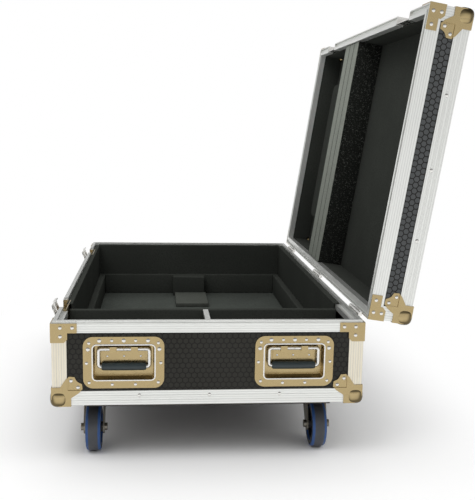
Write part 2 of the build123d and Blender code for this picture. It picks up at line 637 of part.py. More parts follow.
FLOOR_Z = BASE_Z + INNER
FOAM_TOP = FLOOR_Z + FLOOR_FOAM
BAY_Y = NEAR + DIVIDER_Y + DIVIDER_T    # the main bay starts behind the long divider
SKIN = INNER + FOAM


def wall_lining_section():
    """Section of the lining: under the rim's inner leg, past it and over its shelf."""
    over = TONGUE_IN + TONGUE_W + SEAT
    return [
        (INNER, FLOOR_Z - RIM_Z), (INNER, -INNER_LEG - SEAT), (RIM_W + SEAT, -INNER_LEG - SEAT),
        (RIM_W + SEAT, -SHELF_DROP + SEAT), (over, -SHELF_DROP + SEAT), (over, -1), (SKIN, -1), (SKIN, FLOOR_Z - RIM_Z),
    ]


def slices(breaks):
    """Neighbouring spans between breaks, a hair apart."""
    return [(low + MITRE / 2, high - MITRE / 2) for low, high in zip(breaks, breaks[1:])]


# The lining is cut into strips where it passes a catch or a handle dish
CATCH_HALF = CATCH_W / 2 + SEAT
CATCH_BACK = WALL + CATCH_D + SHEET + SEAT
catch_breaks = [y + s * CATCH_HALF for y in CATCH_CENTRES for s in (-1, 1)]
under_catch = RIM_Z - CATCH_H - FLANGE
strips = []
left_section = [(LEFT + u, RIM_Z + v) for u, v in wall_lining_section()]
for number, (y0, y1) in enumerate(slices([BAY_Y] + catch_breaks[1:] + [FAR - SKIN - MITRE])):
    if number % 2:
        with BuildPart() as strip:
            along_y(left_section, y0, y1)
        strips.append(strip.part)
    else:
        with BuildPart() as strip:
            block(LEFT + CATCH_BACK, LEFT + SKIN, y0, y1, under_catch + MITRE, RIM_Z - 1)
        strips.append(strip.part)
        with BuildPart() as strip:
            block(LEFT + INNER, LEFT + SKIN, y0, y1, FLOOR_Z, under_catch)
        strips.append(strip.part)
with BuildPart() as lining_right:
    along_y([(RIGHT - u, RIM_Z + v) for u, v in wall_lining_section()], BAY_Y, FAR - SKIN - MITRE)
strips.append(lining_right.part)
far_section = [(FAR - u, RIM_Z + v) for u, v in wall_lining_section()]
dish_half = DISH_W / 2 + SHEET + SEAT
dish_low = BASE_Z + HANDLE_Z - DISH_H / 2 - SHEET - SEAT
dish_high = BASE_Z + HANDLE_Z + DISH_H / 2 + SHEET + SEAT
dish_back = WALL + DISH_D + SHEET + SEAT
dish_breaks = [CASE_X + s * HANDLE_X + t * dish_half for s in (-1, 1) for t in (-1, 1)]
for number, (x0, x1) in enumerate(slices([LEFT + RIM_W + SEAT] + dish_breaks + [RIGHT - RIM_W - SEAT])):
    if number % 2:
        with BuildPart() as strip:
            block(x0, x1, FAR - SKIN, FAR - dish_back, dish_low + MITRE, dish_high - MITRE)
        strips.append(strip.part)
        with BuildPart() as strip:
            block(x0, x1, FAR - SKIN, FAR - INNER, FLOOR_Z, dish_low)
        strips.append(strip.part)
        with BuildPart() as strip:
            along_x(far_section, x0, x1)
            block(x0, x1, FAR - SKIN, FAR, dish_high, RIM_Z, mode=Mode.INTERSECT)
        strips.append(strip.part)
    else:
        with BuildPart() as strip:
            along_x(far_section, x0, x1)
        strips.append(strip.part)
with BuildPart() as lining_floor:
    block(LEFT + INNER, RIGHT - INNER, BAY_Y, FAR - SKIN - MITRE, FLOOR_Z, FOAM_TOP)
    block(LEFT, LEFT + SKIN, BAY_Y - 1, FAR, FLOOR_Z - 1, FOAM_TOP + 1, mode=Mode.SUBTRACT)
    block(RIGHT - SKIN, RIGHT, BAY_Y - 1, FAR, FLOOR_Z - 1, FOAM_TOP + 1, mode=Mode.SUBTRACT)
base_lining = group(strips + [lining_floor.part])
write(base_lining, "base_lining")

with BuildPart() as ledge_foam:
    low, high = FOAM_TOP, FOAM_TOP + LEDGE_H
    a, b = LEFT + SKIN + SEAT, RIGHT - SKIN - SEAT
    y0, y1 = BAY_Y + SEAT, FAR - SKIN - SEAT
    block(a, a + LEDGE_T, y0, y1, low, high)
    block(b - LEDGE_T, b, y0, y1, low, high)
    block(a + LEDGE_T + SEAT, b - LEDGE_T - SEAT, y1 - LEDGE_T, y1, low, high)
write(ledge_foam.part, "ledge_foam")

with BuildPart() as foam_blocks:
    y1 = FAR - SKIN - 2 * SEAT - LEDGE_T
    block(CASE_X - REAR_BLOCK_LEFT, CASE_X - REAR_BLOCK_LEFT + REAR_BLOCK_W, y1 - REAR_BLOCK_T, y1, FOAM_TOP, high)
    block(
        CASE_X - FLAT_BLOCK_LEFT, CASE_X - FLAT_BLOCK_LEFT + FLAT_BLOCK_W,
        y1 - REAR_BLOCK_T - SEAT - FLAT_BLOCK_L, y1 - REAR_BLOCK_T - SEAT, FOAM_TOP, FOAM_TOP + FLAT_BLOCK_H,
    )
write(foam_blocks.part, "foam_blocks")

with BuildPart() as long_divider:
    y0 = NEAR + DIVIDER_Y
    top = RIM_Z - DIVIDER_DROP
    block(LEFT + INNER, RIGHT - INNER, y0, y0 + DIVIDER_T - SEAT, FLOOR_Z, RIM_Z - INNER_LEG - SEAT)
    block(LEFT + RIM_W + SEAT, RIGHT - RIM_W - SEAT, y0, y0 + DIVIDER_T - SEAT, FLOOR_Z + 1, top)
    for y in CATCH_CENTRES:
        block(LEFT, LEFT + CATCH_BACK, y - CATCH_HALF, y + CATCH_HALF, under_catch, RIM_Z + 1, mode=Mode.SUBTRACT)
write(long_divider.part, "long_divider")

with BuildPart() as short_divider:
    y0, y1 = NEAR + RIM_W + SEAT, NEAR + DIVIDER_Y
    block(CASE_X - SHORT_T / 2, CASE_X + SHORT_T / 2, y0, y1, FLOOR_Z, RIM_Z - DIVIDER_DROP - CAP_WALL)
    block(CASE_X - SHORT_T / 2, CASE_X + SHORT_T / 2, NEAR + INNER, y0 + 1, FLOOR_Z, RIM_Z - 2 * INNER_LEG)
write(short_divider.part, "short_divider")

with BuildPart() as divider_cap:
    low, high = RIM_Z - DIVIDER_DROP - CAP_H, RIM_Z - DIVIDER_DROP
    block(CASE_X - CAP_W / 2, CASE_X + CAP_W / 2, y0, y1, low, high)
    block(CASE_X - SHORT_T / 2, CASE_X + SHORT_T / 2, y0 - 1, y1 + 1, low - 1, high - CAP_WALL, mode=Mode.SUBTRACT)
write(divider_cap.part, "divider_cap")

# Lid, drawn closed and turned open

with BuildPart() as lid_top_panel:
    block(LEFT + WALL, RIGHT - WALL, NEAR + WALL, FAR - WALL, LID_TOP - INNER, LID_TOP - WALL)
    nip(LID_TOP)
write(open_lid(lid_top_panel.part), "lid_top_panel")

LID_BOARD_Z = LID_Z + TONGUE_H + TONGUE_GAP + WALL
lid_walls = []
for y, to_y in ((NEAR, 1), (FAR, -1)):
    with BuildPart() as board:
        y0, y1 = sorted((y + to_y * WALL, y + to_y * INNER))
        block(LEFT + WALL, RIGHT - WALL, y0, y1, LID_BOARD_Z, LID_TOP - INNER)
        nip(LID_TOP)
    lid_walls.append(board.part)
for x, to_x in ((LEFT, 1), (RIGHT, -1)):
    with BuildPart() as board:
        x0, x1 = sorted((x + to_x * WALL, x + to_x * INNER))
        block(x0, x1, NEAR + INNER, FAR - INNER, LID_BOARD_Z, LID_TOP - INNER)
        nip(LID_TOP)
        if to_x > 0:
            for y in CATCH_CENTRES:
                half = CATCH_W / 2 + SEAT
                block(x, x + 2 * INNER, y - half, y + half, LID_Z - 1, LID_Z + KEEPER_H + SEAT, mode=Mode.SUBTRACT)
    lid_walls.append(board.part)
write(open_lid(group(lid_walls)), "lid_wall_panels")

lid_edge_extrusions = group(edge_frame(LID_TOP, -1, LID_H - RIM_LID))
write(open_lid(lid_edge_extrusions), "lid_edge_extrusions")

cut = (LID_Z - EDGE_W, LID_Z + EDGE_W + 1)
lid_rim_extrusions = group(rim_frame(lid_rim_section(), LID_Z, -1, *cut))
write(open_lid(lid_rim_extrusions), "lid_rim_extrusions")

lid_ball_corners = group(ball_corners(LID_TOP, -1))
write(open_lid(lid_ball_corners), "lid_ball_corners")

lid_braces = group(braces(LID_Z, 1, brace_outline(BRACE_LONG, LID_BRACE_SHORT, LID_BRACE_DROP, LID_BRACE_LEG)))
write(open_lid(lid_braces), "lid_braces")

lid_rivets = group(rivet_rows(LID_BRACE_SPOTS, LID_Z, 1, PLATE) + rivet_rows(LOBE_SPOTS, LID_TOP, -1, 0.0))
write(open_lid(lid_rivets), "lid_rivets")

with BuildPart() as catch_keepers:
    for y in CATCH_CENTRES:
        half = CATCH_W / 2
        back = LEFT + WALL + CATCH_D + SHEET
        roof = LID_Z + KEEPER_H
        block(LEFT + WALL - SHEET, back, y - half, y + half, LID_Z, roof)
        block(
            LEFT + WALL - SHEET, LEFT + WALL, y - half - FLANGE, y + half + FLANGE,
            LID_Z + RIM_LID + SEAT, roof + FLANGE,
        )
        block(LEFT, back - SHEET, y - half + SHEET, y + half - SHEET, LID_Z - 1, roof - SHEET, mode=Mode.SUBTRACT)
        bar = RIM_Z + CLAW_TOP - CLAW_T - RIM_GAP
        block(PIN_X + CLAW_T / 2 + SEAT, back, y - half + SHEET, y + half - SHEET, bar - KEEPER_BAR, bar)
write(open_lid(catch_keepers.part), "catch_keepers")

LID_SKIN = INNER + LID_FOAM
LID_FOAM_Z = LID_Z + INNER_LEG + SEAT
CEILING = LID_TOP - INNER
lid_sheets = []
with BuildPart() as sheet:
    block(LEFT + INNER, RIGHT - INNER, NEAR + INNER, FAR - INNER, CEILING - LID_FOAM, CEILING)
lid_sheets.append(sheet.part)
for y, to_y in ((NEAR, 1), (FAR, -1)):
    with BuildPart() as sheet:
        y0, y1 = sorted((y + to_y * INNER, y + to_y * LID_SKIN))
        block(LEFT + INNER, RIGHT - INNER, y0, y1, LID_FOAM_Z, CEILING - LID_FOAM - MITRE)
    lid_sheets.append(sheet.part)
sheet_low, sheet_high = LID_FOAM_Z, CEILING - LID_FOAM - MITRE
sheet_near, sheet_far = NEAR + LID_SKIN + MITRE, FAR - LID_SKIN - MITRE
over_keeper = LID_Z + KEEPER_H + FLANGE
with BuildPart() as sheet:
    block(RIGHT - LID_SKIN, RIGHT - INNER, sheet_near, sheet_far, sheet_low, sheet_high)
lid_sheets.append(sheet.part)
for number, (y0, y1) in enumerate(slices([sheet_near] + catch_breaks + [sheet_far])):
    if number % 2:
        with BuildPart() as sheet:
            block(LEFT + CATCH_BACK, LEFT + LID_SKIN, y0, y1, sheet_low, over_keeper - MITRE)
        lid_sheets.append(sheet.part)
        with BuildPart() as sheet:
            block(LEFT + INNER, LEFT + LID_SKIN, y0, y1, over_keeper, sheet_high)
        lid_sheets.append(sheet.part)
    else:
        with BuildPart() as sheet:
            block(LEFT + INNER, LEFT + LID_SKIN, y0, y1, sheet_low, sheet_high)
        lid_sheets.append(sheet.part)
write(open_lid(group(lid_sheets)), "lid_lining")

RIB_Y0 = NEAR + RIB_Y
with BuildPart() as lid_rib:
    a, b = LEFT + LID_SKIN + SEAT, RIGHT - LID_SKIN - SEAT
    block(a, b, RIB_Y0, RIB_Y0 + RIB_T, LID_Z + RIB_DOWN, CEILING - LID_FOAM - SEAT)
    for spot in (RIB_Y0 + RIB_T / 3, RIB_Y0 + RIB_T * 2 / 3):
        y0, y1 = spot - RIB_GROOVE / 2, spot + RIB_GROOVE / 2
        block(a - 1, b + 1, y0, y1, LID_Z, LID_Z + RIB_DOWN + RIB_GROOVE, mode=Mode.SUBTRACT)
write(open_lid(lid_rib.part), "lid_rib")

with BuildPart() as lid_pad:
    y0 = FAR - LID_SKIN - PAD_IN - PAD_L
    with BuildSketch(Plane.XY.offset(CEILING - LID_FOAM - SEAT - PAD_T)):
        with Locations(((a + b) / 2, y0 + PAD_L / 2)):
            RectangleRounded(PAD_W, PAD_L, PAD_R)
    extrude(amount=PAD_T)
write(open_lid(lid_pad.part), "lid_pad")

# Casters: plate, fork on its swivel pin, wheel with a tyre

RACE_Z = CASTER_H - PLATE_T
CROWN_Z = RACE_Z - RACE_H
AXLE_Z = WHEEL_D / 2


def caster_places():
    """Swivel axes of the four casters."""
    return [(x, y) for y in (NEAR + CASTER_Y, FAR - CASTER_Y) for x in (LEFT + CASTER_X, RIGHT - CASTER_X)]


with BuildPart() as caster_plates:
    for x, y in caster_places():
        with BuildSketch(Plane.XY.offset(RACE_Z)):
            with Locations((x, y)):
                RectangleRounded(PLATE_X, PLATE_Y, PLATE_R)
                with GridLocations(BOLT_X, BOLT_Y, 2, 2):
                    Circle(BOLT_R, mode=Mode.SUBTRACT)
        extrude(amount=PLATE_T)
        with BuildSketch(Plane.XY.offset(CROWN_Z + SEAT)):
            with Locations((x, y)):
                Circle(RACE_R)
                Circle(SWIVEL_R + PIN_FIT, mode=Mode.SUBTRACT)
        extrude(amount=RACE_H - SEAT)
write(caster_plates.part, "caster_plates")

for number, (x, y) in enumerate(caster_places(), 1):
    axle_y = y - CASTER_TRAIL
    gap = TYRE_W / 2 + FORK_GAP
    front, back, out = y + FORK_FRONT, y - FORK_BACK, gap + FORK_T
    low = AXLE_Z - CHEEK_R
    with BuildPart() as fork:
        with BuildSketch(Plane.XY.offset(CROWN_Z - FORK_T)):
            with Locations((x, y)):
                Circle(RACE_R + FORK_T)
            with BuildLine():
                Polyline((x - out, front), (x + out, front), (x + out, back), (x - out, back), close=True)
            make_face()
        extrude(amount=FORK_T)
        cheek = [
            (front, CROWN_Z), (back, CROWN_Z), (axle_y - CHEEK_R, AXLE_Z + CHEEK_TOP),
            (axle_y - CHEEK_R, AXLE_Z - CHEEK_CUT), (axle_y - CHEEK_CUT, low), (axle_y + CHEEK_CUT, low),
            (axle_y + CHEEK_R, AXLE_Z - CHEEK_CUT), (y + HEEL_Y, CROWN_Z - HEEL_DROP),
        ]
        along_x(cheek, x - out, x - gap)
        along_x(cheek, x + gap, x + out)
        with Locations((x, y, CROWN_Z + (RACE_H - SEAT) / 2)):
            Cylinder(SWIVEL_R, RACE_H - SEAT)
        with Locations(Pos(x, axle_y, AXLE_Z) * Rot(0, 90, 0)):
            Cylinder(AXLE_R, 2 * out)
            for s in (-1, 1):
                with Locations(Pos(0, 0, s * (out + NUT_T / 2))):
                    Cylinder(NUT_R, NUT_T)
    write(fork.part, f"caster_fork_{number}")

    with BuildPart() as wheel:
        with Locations(Pos(x, axle_y, AXLE_Z) * Rot(0, 90, 0)):
            Cylinder(WHEEL_D / 2 - TYRE_T, TYRE_W - 2 * WHEEL_IN)
            for s in (-1, 1):
                with Locations(Pos(0, 0, s * (WEB_T + TYRE_W) / 2)):
                    Cylinder(WHEEL_D / 2 - TYRE_T - WHEEL_RIM, TYRE_W, mode=Mode.SUBTRACT)
            Cylinder(HUB_R, TYRE_W + 2 * HUB_OUT)
            Cylinder(AXLE_R + PIN_FIT, 2 * TYRE_W, mode=Mode.SUBTRACT)
    write(wheel.part, f"caster_wheel_{number}")

    half, tread = TYRE_W / 2, WHEEL_D / 2
    with BuildPart() as tyre:
        with BuildSketch(Plane(origin=(x, axle_y, AXLE_Z), x_dir=(1, 0, 0), z_dir=(0, -1, 0))):
            with BuildLine():
                Polyline(
                    (-half, tread - TYRE_T), (-half, tread - TYRE_SIDE), (TYRE_SIDE - half, tread - TYRE_CROWN),
                    (TYRE_FLAT - half, tread), (half - TYRE_FLAT, tread), (half - TYRE_SIDE, tread - TYRE_CROWN),
                    (half, tread - TYRE_SIDE), (half, tread - TYRE_T), close=True,
                )
            make_face()
        revolve(axis=Axis((x, axle_y, AXLE_Z), (1, 0, 0)))
    write(tyre.part, f"caster_tyre_{number}")
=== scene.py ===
import math

import bmesh
import bpy
from mathutils import Matrix, Vector


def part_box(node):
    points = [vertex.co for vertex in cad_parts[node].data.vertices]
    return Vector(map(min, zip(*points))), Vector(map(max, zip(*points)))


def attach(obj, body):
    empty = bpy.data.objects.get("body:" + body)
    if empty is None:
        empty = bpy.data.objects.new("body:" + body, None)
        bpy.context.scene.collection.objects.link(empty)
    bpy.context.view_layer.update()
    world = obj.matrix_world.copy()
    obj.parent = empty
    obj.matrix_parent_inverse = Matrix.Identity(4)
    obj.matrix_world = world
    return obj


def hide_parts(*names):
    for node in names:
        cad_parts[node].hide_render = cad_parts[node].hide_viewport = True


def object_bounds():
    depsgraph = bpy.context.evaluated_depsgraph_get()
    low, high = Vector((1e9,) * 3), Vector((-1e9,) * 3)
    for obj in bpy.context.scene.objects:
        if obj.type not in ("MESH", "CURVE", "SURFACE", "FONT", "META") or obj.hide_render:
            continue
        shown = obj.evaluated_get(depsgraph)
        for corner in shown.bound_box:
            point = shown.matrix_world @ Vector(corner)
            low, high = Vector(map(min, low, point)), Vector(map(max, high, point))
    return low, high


bl_info = {
    "name": "Road Case",
    "version": (1, 0, 0),
    "blender": (4, 5, 0),
    "location": "View3D > Sidebar > Road Case",
    "description": "Dresses a long road case with its foam, rivets, grips, tyres and finishes",
    "category": "Add Mesh",
}

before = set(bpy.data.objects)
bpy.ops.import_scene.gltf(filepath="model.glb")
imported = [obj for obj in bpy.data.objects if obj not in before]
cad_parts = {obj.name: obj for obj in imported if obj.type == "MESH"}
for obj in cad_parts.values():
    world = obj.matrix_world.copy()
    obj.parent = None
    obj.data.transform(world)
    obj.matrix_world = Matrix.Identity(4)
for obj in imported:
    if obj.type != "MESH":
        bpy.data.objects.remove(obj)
CAD_BOX = [list(corner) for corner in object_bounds()]

COUNT = 4
BODY_BASE, BODY_LID = "case_base", "lid"
ROOT_THREE = math.sqrt(3.0)
PHOTO_WIDE = 475.0

# Angles in degrees, and shares of a normal or a wave
SMOOTH_ANGLE = 35.0
FLAT_FACE = 0.7
PRESS_SHIFT = (1.3, 0.7)

# Metres: rivet rows on the extrusions, edges of the print, foam pieces
ROW_FROM, ROW_STEP, ROW_IN = 0.137, 0.1377, 0.020
PAINT_EDGE = 0.001
LIP_THICK = 0.0027
BATTEN = 0.018
BUTT = 0.0003
RIB_FROM, RIB_THICK, RIB_GROOVE, STRIPE_TOP = 0.579, 0.152, 0.004, 0.0055
UNDER_SHEET = 0.0123
PAD, PAD_ROUND = (0.420, 0.240, 0.022), 0.030
GRIP_STEPS = 28


def size(name, metres, about):
    """A length that a user may change."""
    return bpy.props.FloatProperty(name=name, description=about, default=metres, unit="LENGTH", precision=4)


def colour(name, rgb, about):
    """A colour that a user may change."""
    return bpy.props.FloatVectorProperty(
        name=name, description=about, default=rgb, subtype="COLOR", size=3, min=0.0, max=1.0
    )


class CaseSizes(bpy.types.PropertyGroup):
    """Sizes of the case that its dressing follows."""

    width: size("Width", 0.640, "Across the case, outside of the extrusions")
    length: size("Length", 1.100, "Along the case")
    centre_x: size("Centre", -0.0883, "Centre line of the base")
    base_low: size("Base bottom", 0.126, "Underside of the base")
    base_high: size("Base rim", 0.298, "Seam of the base")
    lid_height: size("Lid height", 0.090, "Lid, rim to top")
    rim_gap: size("Rim gap", 0.0005, "Gap between the rims when shut")
    pivot_out: size("Pivot out", 0.007, "Hinge axis, out from the side")
    pivot_up: size("Pivot up", 0.002, "Hinge axis, above the seam")
    wall: size("Wall", 0.002, "Wall of the extrusions")
    board: size("Board", 0.007, "Thickness of the boards")
    edge: size("Edge leg", 0.030, "Leg of the edge extrusions")
    sheet: size("Sheet", 0.0015, "Sheet steel of the handles")
    skin: size("Lining face", 0.0245, "Face of the base lining, in from the case side")
    lid_skin: size("Lid lining face", 0.021, "Face of the lid lining, in from the lid side")
    open_angle: bpy.props.FloatProperty(
        name="Lid angle", description="How far the lid stands open", default=math.radians(98.5), subtype="ANGLE"
    )


class HardwareSizes(bpy.types.PropertyGroup):
    """Sizes of rivets, handles, ball corners and wheels."""

    rivet: size("Rivet", 0.0039, "Radius of a rivet head")
    rivet_high: size("Rivet height", 0.0018, "Height of a rivet head")
    plate: size("Plate", 0.002, "Thickness of braces and ball corners")
    ball: size("Ball", 0.0185, "Radius of a ball corner")
    ball_in: size("Ball centre", 0.013, "Ball centre, in from the case corner")
    lobe_near: size("Lobe rivet, near", 0.038, "Rivet on a ball corner's lobe, short way")
    lobe_far: size("Lobe rivet, far", 0.052, "Rivet on a ball corner's lobe, long way")
    handle_x: size("Handle place", 0.1755, "Handle centre, from the centre line")
    handle_z: size("Handle height", 0.0895, "Handle centre above the base bottom")
    dish_w: size("Dish width", 0.124, "Opening of a handle dish")
    dish_h: size("Dish height", 0.072, "Opening of a handle dish")
    dish_r: size("Dish corner", 0.007, "Corner radius of a handle dish")
    cover_in: size("Cover", 0.0155, "Face of a handle's cover, in from the extrusions' inner face")
    bead: size("Bead", 0.0028, "Width of the bead pressed round a dish")
    bead_high: size("Bead height", 0.0012, "Height of that bead")
    grip: size("Grip", 0.008, "Radius of a handle grip")
    wheel: size("Wheel", 0.050, "Radius of a caster wheel")
    tyre_w: size("Tyre width", 0.032, "Width of a tyre")
    tyre_t: size("Tyre thickness", 0.014, "Thickness of a tyre")
    pitch: size("Honeycomb", 0.0120, "Pitch of the printed honeycomb")


class CaseColours(bpy.types.PropertyGroup):
    """Colours of the case."""

    laminate: colour("Laminate", (0.0175, 0.0168, 0.0120), "Hexagons of the base laminate")
    laminate_line: colour("Laminate lines", (0.0035, 0.0026, 0.0015), "Lines between the hexagons")
    lid_laminate: colour("Lid laminate", (0.078, 0.083, 0.085), "Hexagons of the lid laminate")
    inner_paint: colour("Inner paint", (0.016, 0.017, 0.016), "Inner faces of the boards")
    aluminium: colour("Aluminium", (0.85, 0.86, 0.83), "Satin extrusions")
    # Painted sheen: a warmer copy of the aluminium colour for the base's upright posts, standing in for the
    # light they reflect
    post: colour("Corner post", (0.82, 0.76, 0.62), "Warm sheen of the base's upright extrusions")
    zinc: colour("Zinc", (0.43, 0.335, 0.175), "Yellow passivated zinc plate")
    chrome: colour("Chrome", (0.78, 0.77, 0.74), "Polished balls and rivets")
    foam: colour("Foam", (0.068, 0.073, 0.065), "Charcoal foam")
    floor_foam: colour("Floor foam", (0.105, 0.116, 0.104), "Foam on the bay floor")
    grey_foam: colour("Grey foam", (0.120, 0.128, 0.113), "Grey foam")
    rubber: colour("Rubber", (0.020, 0.030, 0.032), "Handle grips")
    tyre: colour("Tyre", (0.020, 0.075, 0.235), "Blue of the tyres")
    tread: colour("Tread", (0.055, 0.058, 0.066), "Worn running face of the tyres")
    nylon: colour("Nylon", (0.018, 0.018, 0.020), "Wheel cores")
    steel: colour("Caster steel", (0.24, 0.225, 0.19), "Forks and plates")
    board: colour("Caster board", (0.018, 0.013, 0.010), "Painted caster board")
    stage: colour("Floor", (1.0, 1.0, 1.0), "Floor of the studio")


def sizes():
    return bpy.context.scene.case_sizes


def hardware():
    return bpy.context.scene.hardware_sizes


def colours():
    return bpy.context.scene.case_colours


# ---- places that more than one operator uses


def case_sides():
    s = sizes()
    return s.centre_x - s.width / 2, s.centre_x + s.width / 2, -s.length / 2, s.length / 2


def lid_heights():
    """Closed lid: rim plane, top, inner face of the top board."""
    s = sizes()
    low = s.base_high + s.rim_gap
    return low, low + s.lid_height, low + s.lid_height - s.wall - s.board


def lid_turn():
    """Turn a closed lid's place into the open one."""
    s = sizes()
    pivot = Vector((s.centre_x + s.width / 2 + s.pivot_out, 0.0, s.base_high + s.pivot_up))
    return Matrix.Translation(pivot) @ Matrix.Rotation(s.open_angle, 4, "Y") @ Matrix.Translation(-pivot)


def handle_places():
    """x of a handle, y of its end of the case, and that end's inward direction."""
    s, h = sizes(), hardware()
    ends = ((-s.length / 2, 1), (s.length / 2, -1))
    return [(s.centre_x + k * h.handle_x, y, inward) for y, inward in ends for k in (-1, 1)]


# ---- modelling


def clear():
    """Object mode with nothing selected."""
    if bpy.context.object and bpy.context.object.mode != "OBJECT":
        bpy.ops.object.mode_set(mode="OBJECT")
    bpy.ops.object.select_all(action="DESELECT")


def hold(piece):
    """Select one piece alone, in object mode."""
    clear()
    piece.select_set(True)
    bpy.context.view_layer.objects.active = piece


def settle(piece, name):
    """Name a piece and apply its place, so that its object sits at the origin."""
    hold(piece)
    piece.name = piece.data.name = name
    bpy.ops.object.transform_apply(location=True, rotation=True, scale=True)
    return piece


def edit(piece, chosen="DESELECT", kind="FACE"):
    """Edit mode with all of a piece selected, or none of it."""
    hold(piece)
    bpy.ops.object.mode_set(mode="EDIT")
    bpy.ops.mesh.select_mode(type=kind)
    bpy.ops.mesh.select_all(action=chosen)


def cut(piece, place, normal):
    """Cut a piece along a plane, keeping both sides."""
    edit(piece, "SELECT")
    bpy.ops.mesh.bisect(plane_co=place, plane_no=normal)


def drawn_out(move):
    """Extrude what is selected."""
    bpy.ops.mesh.extrude_region_move(TRANSFORM_OT_translate={"value": move})


def smoothed(piece, angle):
    """Smooth shading up to an angle."""
    hold(piece)
    bpy.ops.object.shade_smooth_by_angle(angle=math.radians(angle))
    return piece


def pick(piece, test, kind="faces"):
    """Select the faces, edges or vertices of a piece in edit mode that pass a test."""
    mesh = bmesh.from_edit_mesh(piece.data)
    for part in getattr(mesh, kind):
        part.select_set(bool(test(part)))
    mesh.select_flush_mode()
    bmesh.update_edit_mesh(piece.data)


def bevelled(piece, width, segments=2, angle=40.0):
    """Round the hard edges of a piece."""
    hold(piece)
    rounding = piece.modifiers.new("Rounding", "BEVEL")
    rounding.width = width
    rounding.segments = segments
    rounding.limit_method = "ANGLE"
    rounding.angle_limit = math.radians(angle)
    rounding.use_clamp_overlap = True
    bpy.ops.object.modifier_apply(modifier=rounding.name)
    return smoothed(piece, SMOOTH_ANGLE)


def slab(name, low, high):
    """A block between two corners, its object at the origin."""
    clear()
    low, high = Vector(low), Vector(high)
    bpy.ops.mesh.primitive_cube_add(size=1.0, location=(low + high) / 2, scale=high - low)
    return settle(bpy.context.object, name)


def foam_sheet(name, low, high, round_by=0.0015, rows=0, axis=0):
    """A foam sheet with soft edges; rows cut fine steps across it so that it can be pressed."""
    piece = slab(name, low, high)
    if rows:
        step = (Vector(high)[axis] - Vector(low)[axis]) / (rows + 1)
        normal = [0.0, 0.0, 0.0]
        normal[axis] = 1.0
        for row in range(rows):
            place = [0.0, 0.0, 0.0]
            place[axis] = Vector(low)[axis] + step * (row + 1)
            cut(piece, place, normal)
    return bevelled(piece, round_by, 3)


def pressed(piece, depth, reach):
    """Draw the edges of a foam block in a little, as where it was cut and handled."""
    heights = [vertex.co.z for vertex in piece.data.vertices]
    middle = (min(heights) + max(heights)) / 2
    for vertex in piece.data.vertices:
        x, y, z = vertex.co
        wave = math.sin(x / reach) * math.sin(y / reach + PRESS_SHIFT[0]) * math.sin(z / reach + PRESS_SHIFT[1])
        if z > middle:
            vertex.co.z -= depth * (0.5 + 0.5 * wave)
    return piece


def joined(pieces, name):
    """Many pieces made one."""
    clear()
    for piece in pieces:
        piece.select_set(True)
    bpy.context.view_layer.objects.active = pieces[0]
    bpy.ops.object.join()
    return settle(bpy.context.object, name)


def copied(piece, places, name):
    """Copies of a piece, each with its own mesh, at a list of matrices, joined; the first is used up."""
    copies = []
    for place in places:
        twin = piece.copy()
        twin.data = piece.data.copy()
        twin.matrix_world = place
        bpy.context.scene.collection.objects.link(twin)
        copies.append(twin)
    bpy.data.objects.remove(piece)
    return joined(copies, name)


def facing(place, outward, scale=1.0):
    """A matrix that stands a piece at a place with its z axis outwards."""
    turn = Vector(outward).to_track_quat("Z", "Y").to_matrix().to_4x4()
    return Matrix.Translation(place) @ turn @ Matrix.Scale(scale, 4)


def dressed(piece, material, slot, body, *nodes):
    """Give a piece its material, the nodes it stands for and the body it rides on; the slot is not used."""
    piece.data.materials.clear()
    piece.data.materials.append(material)
    if nodes:
        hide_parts(*nodes)
    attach(piece, body)
    return piece


def cushioned(piece, finish, slot, body, node):
    """Dress a padded piece, which fills the node it stands for."""
    dressed(piece, finish_for(finish), slot, body, node)


def paint(material, *names):
    """Give CAD nodes their finish."""
    for name in names:
        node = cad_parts[name]
        node.data.materials.clear()
        node.data.materials.append(material)


# ---- node helpers


def feed(tree, entry, value):
    """Link a socket to an input, or set the input to a value."""
    if isinstance(value, bpy.types.NodeSocket):
        tree.links.new(value, entry)
    else:
        entry.default_value = value


def put(tree, kind, feeds=(), **settings):
    """Add a node, set its options, and feed its inputs from values or sockets."""
    node = tree.nodes.new(kind)
    for key, value in settings.items():
        setattr(node, key, value)
    for key, value in dict(feeds).items():
        feed(tree, node.inputs[key], value)
    return node


def calc(tree, operation, *values):
    """A math node's result."""
    return put(tree, "ShaderNodeMath", dict(enumerate(values)), operation=operation).outputs[0]


def vector(tree, operation, *values):
    """A vector math node's vector."""
    return put(tree, "ShaderNodeVectorMath", dict(enumerate(values)), operation=operation).outputs[0]


def measure(tree, operation, *values):
    """A vector math node's number, as for a length."""
    return put(tree, "ShaderNodeVectorMath", dict(enumerate(values)), operation=operation).outputs["Value"]


def mixed(tree, factor, first, second):
    """Two colours mixed by a factor."""
    node = tree.nodes.new("ShaderNodeMix")
    node.data_type = "RGBA"
    feed(tree, node.inputs[0], factor)
    for entry, value in ((node.inputs[6], first), (node.inputs[7], second)):
        feed(tree, entry, value if isinstance(value, bpy.types.NodeSocket) else (*value, 1.0))
    return node.outputs[2]


def split(tree, value):
    """The three parts of a vector."""
    return put(tree, "ShaderNodeSeparateXYZ", {0: value}).outputs


def either(tree, switch, yes, no):
    """One value where a switch is 1, the other where it is 0."""
    off = calc(tree, "SUBTRACT", 1.0, switch)
    return calc(tree, "ADD", calc(tree, "MULTIPLY", switch, yes), calc(tree, "MULTIPLY", off, no))


def tinted(rgb, level):
    """A colour made lighter or darker."""
    return [min(1.0, value * level) for value in rgb]


def eased(tree, value, low, high, to_low=0.0, to_high=1.0):
    """A value carried from one range to another with soft ends."""
    feeds = {"Value": value, "From Min": low, "From Max": high, "To Min": to_low, "To Max": to_high}
    return put(tree, "ShaderNodeMapRange", feeds, interpolation_type="SMOOTHSTEP").outputs[0]


def noise(tree, place, scale, detail, rough=0.5):
    """A noise texture's value."""
    feeds = {"Vector": place, "Scale": scale, "Detail": detail, "Roughness": rough}
    return put(tree, "ShaderNodeTexNoise", feeds).outputs[0]


